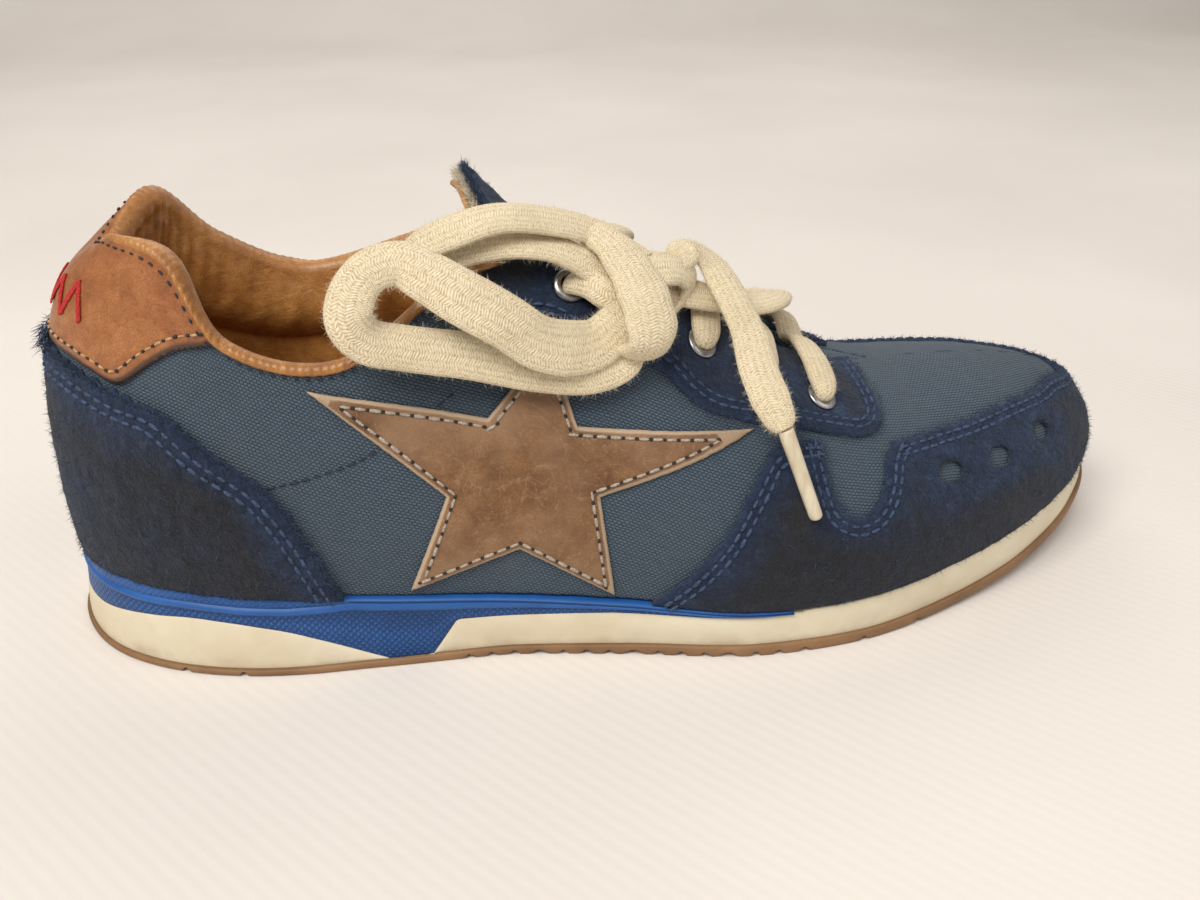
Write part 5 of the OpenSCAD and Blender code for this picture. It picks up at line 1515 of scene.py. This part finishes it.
pts, g, w = bar(eyelets_lat[0], eyelets_med[0], -2.5)
crossing.append(lace_run("lace_bar", pts, as_guides(g), w))
for k in range(1, 4):
    pts, g, w = bar(eyelets_lat[k], eyelets_med[k + 1], -2.5, False)
    crossing.append(lace_run("lace_cross_a%d" % k, pts, as_guides(g), w))
    pts, g, w = bar(eyelets_med[k], eyelets_lat[k + 1], 1, False)
    crossing.append(lace_run("lace_cross_b%d" % k, pts, as_guides(g), w))
feed = part_frame(feed_med)
crossing.append(lace_run("lace_feed_medial", feed, [(0.5, 0, 1)] * len(feed)))
e5, n5 = eyelet_start(eyelets_lat[4])
feed_l = [e5[0], e5[1], *(part_frame([at])[0] for at in ((117.5, -23, 80), (121, -24.5, 78), (126, -22.5, 77)))]
crossing.append(lace_run("lace_feed_lateral", feed_l, [tuple(n5)] * 2 + [(0, -1, 0.5)] * 3,
                         ((0, 0.2, 0.5, 1), (0.4, 0.6, 0.8, 0.8))))
for k, ob in enumerate(crossing):
    ride(ob, replaced="lace_crossings" if k == 0 else ())

# ---- stitching ----
def stitched(name, paths, lift, pitch, length, width, mat, seed, uneven=0.15, between=False):
    """A row of stitches along each path, or what lies halfway between them."""
    rows = Rows()
    for p in paths:
        pos_, al_, up_ = along_surface(p, lift, pitch)
        rows.add(pos_ + al_ * (pitch / 2 if between else 0), al_, up_)
    return ride(rows.build(name, STITCHES, mat, Length=length * MM, Width=width * MM, Seed=seed, Unevenness=uneven))


stitched("mudguard_stitches", [inset_path(guard_all, -d) for d in (1.9, 3.6)], OVER_OUT + 0.06,
         2.7, 2.4, 0.85, navy_thread, 3)
stitched("foxing_stitches", [inset_path(fox_all, -d) for d in (2.4, 4.3)], OVER_OUT + 0.5,
         2.7, 2.4, 0.85, navy_thread, 4)
stitched("eyestay_stitches", [inset_path(stay_line, 2.0), inset_path(stay_line, 3.6)],
         OVER_OUT + 0.06, 2.6, 2.3, 0.75, navy_thread, 5)
stitched("eyestay_medial_stitches", [inset_path(stay_med_line, 2.0)], OVER_OUT + 0.06, 2.6, 2.3, 0.75, navy_thread, 6)
stitched("heel_tab_stitches", [inset_path(tab_all, 2.5)], OVER_OUT - 0.08, 2.6, 1.7, 0.55, tan_thread, 7)
star_row = star_stitch_line(1.6)
stitched("star_stitches", [star_row], GAP + STAR_T + 0.02, 2.9, 2.5, 0.72, pale_thread, 8)
seam = [(3.28, 0.498), (3.80, 0.603), (4.19, 0.654), (4.73, 0.692), (4.90, 0.702)]
stitched("canvas_seam", [rounded(seam, 6)], 0.12, 2.4, 1.9, 0.5, dark_thread, 9)
stitched("binding_stitches", [[(a, 0.972) for a in np.linspace(2.95, 5.0, 60)],
                              [(a, 0.972) for a in np.linspace(-4.2, -2.95, 30)]],
         0.5, 2.2, 1.3, 0.45, dark_thread, 10)
stitched("tab_edge_stitches", [[(a, 0.955) for a in np.linspace(-2.8, 2.8, 120)]], OVER_OUT + 0.05,
         2.6, 1.2, 0.5, dark_thread, 12)


# dark blobs halfway between the stitches stand for the needle holes, which are not cut: painted shade
stitched("star_needle_hole_shade", [star_row], GAP + STAR_T - 0.02, 2.9, 1.0, 0.75, needle_hole_shade, 4, 0.1, True)
stitched("heel_tab_needle_hole_shade", [inset_path(tab_all, 2.5)], OVER_OUT - 0.12, 2.6, 1.0, 0.7, needle_hole_shade, 5, 0.1, True)

# a plain zigzag of red satin stitch on the heel tab
zig_rows = Rows()
zig = [(-1.02 + 0.2 * k, 0.80 if k % 2 else 0.685) for k in range(11)]
for a, b in zip(zig[:-1], zig[1:]):
    pos, al, up = along_surface([a, b], OVER_OUT + 0.12, 0.42)
    zig_rows.add(pos, np.cross(al, up) + al * 0.5, up)
ride(zig_rows.build("heel_zigzag", STITCHES, red_thread, Length=1.7 * MM, Width=0.5 * MM, Seed=11, Unevenness=0.15))

# ---- frayed suede ----
def fuzz(name, paths, lift, count_per_mm, length, thick, mat, seed, spread=0.5):
    r = np.random.default_rng(seed)
    rows = Rows()
    for p in paths:
        pos_, al_, up_ = along_surface(p, lift, 1 / count_per_mm)
        side_ = np.cross(al_, up_)
        k = len(pos_)
        out_dir = side_ * 1.0 + up_ * r.uniform(0.2, 1.2, (k, 1)) + al_ * r.uniform(-0.8, 0.8, (k, 1))
        rows.add(pos_ + r.normal(0, spread, (k, 1)) * side_ + up_ * r.uniform(-0.5, 0.1, (k, 1)), al_, out_dir)
    return ride(rows.build(name, FIBRES, mat, Length=length * MM, Thickness=thick * MM, Lean=0.7, Seed=seed))


fuzz("foxing_fray", [fox_all[::-1]], OVER_OUT + 0.3, 9, 1.8, 0.09, nap_fibre, 41)
fuzz("mudguard_fray", [guard_all[::-1]], OVER_OUT - 0.2, 7, 1.2, 0.075, nap_fibre, 42)
fuzz("eyestay_fray", [stay_line, stay_med_line], OVER_OUT - 0.2, 7, 1.2, 0.075, nap_fibre, 43)
# dark matted fibres round each vent's rim: partly torn fibres, partly painted shade for the shadowed rim
for k, v in enumerate(vents):
    rim_of_hole = np.array(circle_hole(v, 3.2, 24, 0.76))
    fuzz("vent_rim_shade_fray_%d" % k, [np.vstack([rim_of_hole, rim_of_hole[:1]])],
         OVER_OUT - 0.2, 9, 0.9, 0.08, matted_fibre_and_rim_shade, 61 + k, 0.25)
corner = [(-1.7, 0.575), (-1.2, 0.572), (-0.6, 0.58), (0, 0.585), (0.35, 0.582)]
for k, (rise_, long_) in enumerate(((0.4, 3.6), (1.2, 2.6))):
    fuzz("torn_corner_%d" % k, [corner], OVER_OUT + rise_, 9, long_, 0.1, nap_fibre, 44 + k, 0.9)
for ob, count, length, mat in ((foxing, 9000, 0.9, matted_fibre_and_rim_shade),
                                (guard, 10000, 0.8, matted_fibre_and_rim_shade), (stay, 3500, 0.8, nap_fibre),
                               (stay_med, 1500, 0.8, nap_fibre)):
    ride(tidy_fibres(ob.name + "_nap", ob, count, length, 0.055, mat, 50 + count % 11))
for ob, count in ((foxing, 5000), (guard, 6000)):
    ride(tidy_fibres(ob.name + "_long_nap", ob, count, 1.5, 0.07, nap_fibre, 93))
ride(tidy_fibres("tongue_nap", tongue_face, 2500, 0.8, 0.05, nap_fibre, 66), "tongue")
for ob, count, length in ((near_lace, 4500, 1.3), (far_lace, 3600, 1.3), (lat_lace, 3000, 1.2), (med_lace, 1600, 1.2),
                          (knot_a, 1600, 1.2), (knot_b, 900, 1.1), (crossing[0], 1000, 1.1)):
    ride(tidy_fibres(ob.name + "_hair", ob, count, length, 0.03, cotton_fibre, 70 + count % 7))


def tongue_fray(name, layer, length, mat, per, seed):
    """Loose fibres along the torn top edge of a layer of the tongue."""
    q = np.repeat(np.linspace(-1, 1, 150), per)
    r = np.random.default_rng(seed)
    f = 0.1 + (6.02 + 0.32 * q - 0.1) * (1 - 0.14 + 0.14 * (1 - np.abs(q) ** 2.6) ** (1 / 2.6))
    base = tongue_off(f, q, np.full(len(f), layer))
    ahead_ = tongue_off(f + 0.1, q, np.full(len(f), layer)) - base
    ahead_ /= np.linalg.norm(ahead_, axis=1, keepdims=True)
    return ride(grown(name, FIBRES, base + r.normal(0, 0.3, base.shape), ahead_ + r.normal(0, 0.4, base.shape),
                      None, mat,
                      Length=length * MM, Thickness=0.09 * MM, Lean=0.6, Seed=seed), "tongue")


tongue_fray("tongue_top_fray", 0.7, 2.0, nap_fibre, 9, 81)
tongue_fray("tongue_felt_fray", 2.6, 2.4, cotton_fibre, 5, 82)

# ---- zip ----
zip_high = off(np.array([19.2]), np.array([0.93]), 1.6)[0]
zip_x = zip_high - off(np.array([18.05]), np.array([0.3]), 1.6)[0]
zip_x /= np.linalg.norm(zip_x)
zip_start = zip_high - zip_x * 42
zip_up = outward(np.array([18.625]), np.array([0.6]))[0]
zip_y = np.cross(zip_up, zip_x)
zip_y /= np.linalg.norm(zip_y)
zip_z = np.cross(zip_x, zip_y)


def zip_tape(name, side):
    """One woven tape with a corded inner edge and a soft outer one."""
    along, across = np.meshgrid(np.linspace(0.1, 41.9, 120), np.linspace(0, 1, 26), indexing="ij")
    y = 0.42 + across * 6.02
    bead = np.exp(-((across - 0.07) / 0.06) ** 2) * 0.28
    wave = 0.06 * np.sin(along * 0.7 + side) + 0.05 * np.sin(along * 0.31 + across * 4)
    round_edge = 0.22 * (1 - np.clip(np.minimum(across, 1 - across) / 0.06, 0, 1)) ** 2
    top, low_ = 0.5 + bead + wave * across - round_edge, 0.03 + round_edge

    def put(z):
        return zip_start + along[..., None] * zip_x + (side * y)[..., None] * zip_y + z[..., None] * zip_z
    uv = np.stack([along, y], -1)
    return facing_out(grid_shell(name, put(top), put(low_), tape_weave, uv))


for side, word in ((-1, "front"), (1, "back")):
    ride(zip_tape("zip_tape_" + word, side), replaced="zip_tapes" if side > 0 else ())
    for inset in (4.6, 5.6):
        row = Rows()
        k = np.arange(1.5, 41, 2.6)
        pos = zip_start + k[:, None] * zip_x + side * inset * zip_y + 0.62 * zip_z
        row.add(pos, np.tile(zip_x, (len(k), 1)), np.tile(zip_z, (len(k), 1)))
        ride(row.build("zip_row_%s_%d" % (word, int(inset)), STITCHES, navy_thread, Length=1.9 * MM, Width=0.42 * MM,
                       Seed=91, Unevenness=0.12))
for node, mat in (("zip_tapes", tape_weave), ("zip_teeth", nickel), ("zip_stops", nickel), ("zip_slider", nickel),
                  ("zip_pull", nickel)):
    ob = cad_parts[node]
    ob.data.materials.clear()
    ob.data.materials.append(mat)

# ---- floor and light ----
def floor_finish():
    f = Finish("pale_cloth", Roughness=0.9)
    at = f.place()
    tone = f.noise(5, 3, at)
    rib = f.add("TexWave", {"Vector": at, "Scale": 160.0, "Distortion": 0.6, "Detail": 1.0}, bands_direction="DIAGONAL")
    colour = f.ramp(tone, [(0.3, (0.755, 0.705, 0.66)), (0.7, (0.83, 0.78, 0.735))])
    return f.finish(colour, None, f.bump(rib, 0.12, 0.0004))


me = bpy.data.meshes.new("floor")
back = [(-2.5, -1.5, 0), (2.5, -1.5, 0), (2.5, 0.9, 0), (-2.5, 0.9, 0)]
arc = [(0.9 + 0.3 * math.sin(a), 0.3 - 0.3 * math.cos(a)) for a in np.linspace(0, math.pi / 2, 9)[1:]]
verts = back[:]
faces = [(0, 1, 2, 3)]
prev = (3, 2)
for y, z in arc + [(1.2, 2.2)]:
    verts += [(-2.5, y, z), (2.5, y, z)]
    n = len(verts)
    faces.append((prev[0], prev[1], n - 1, n - 2))
    prev = (n - 2, n - 1)
me.from_pydata(verts, [], faces)
me.shade_smooth()
me.materials.append(floor_finish())
floor = bpy.data.objects.new("floor", me)
bpy.context.scene.collection.objects.link(floor)

world = bpy.data.worlds.new("studio")
world.use_nodes = True
world.node_tree.nodes["Background"].inputs[0].default_value = (1.0, 0.97, 0.93, 1)
world.node_tree.nodes["Background"].inputs[1].default_value = 0.27
bpy.context.scene.world = world


def softbox(name, at, to, size, power, color):
    data = bpy.data.lights.new(name, "AREA")
    data.shape = "RECTANGLE"
    data.size, data.size_y = size
    data.energy, data.color = power, color
    ob = bpy.data.objects.new(name, data)
    ob.location = at
    ob.rotation_euler = (Vector(to) - Vector(at)).to_track_quat("-Z", "Y").to_euler()
    bpy.context.scene.collection.objects.link(ob)


softbox("key", (-0.5, -0.55, 1.05), (0, 0, 0.03), (0.8, 0.55), 14, (1.0, 0.965, 0.91))
softbox("fill", (0.75, -0.5, 0.7), (0, 0, 0.03), (0.9, 0.7), 2.6, (1.0, 0.97, 0.94))
softbox("rim", (0.1, 0.8, 0.8), (0, 0, 0.05), (1.2, 0.5), 3, (1.0, 0.98, 0.95))
bpy.context.scene.view_settings.view_transform = "Standard"
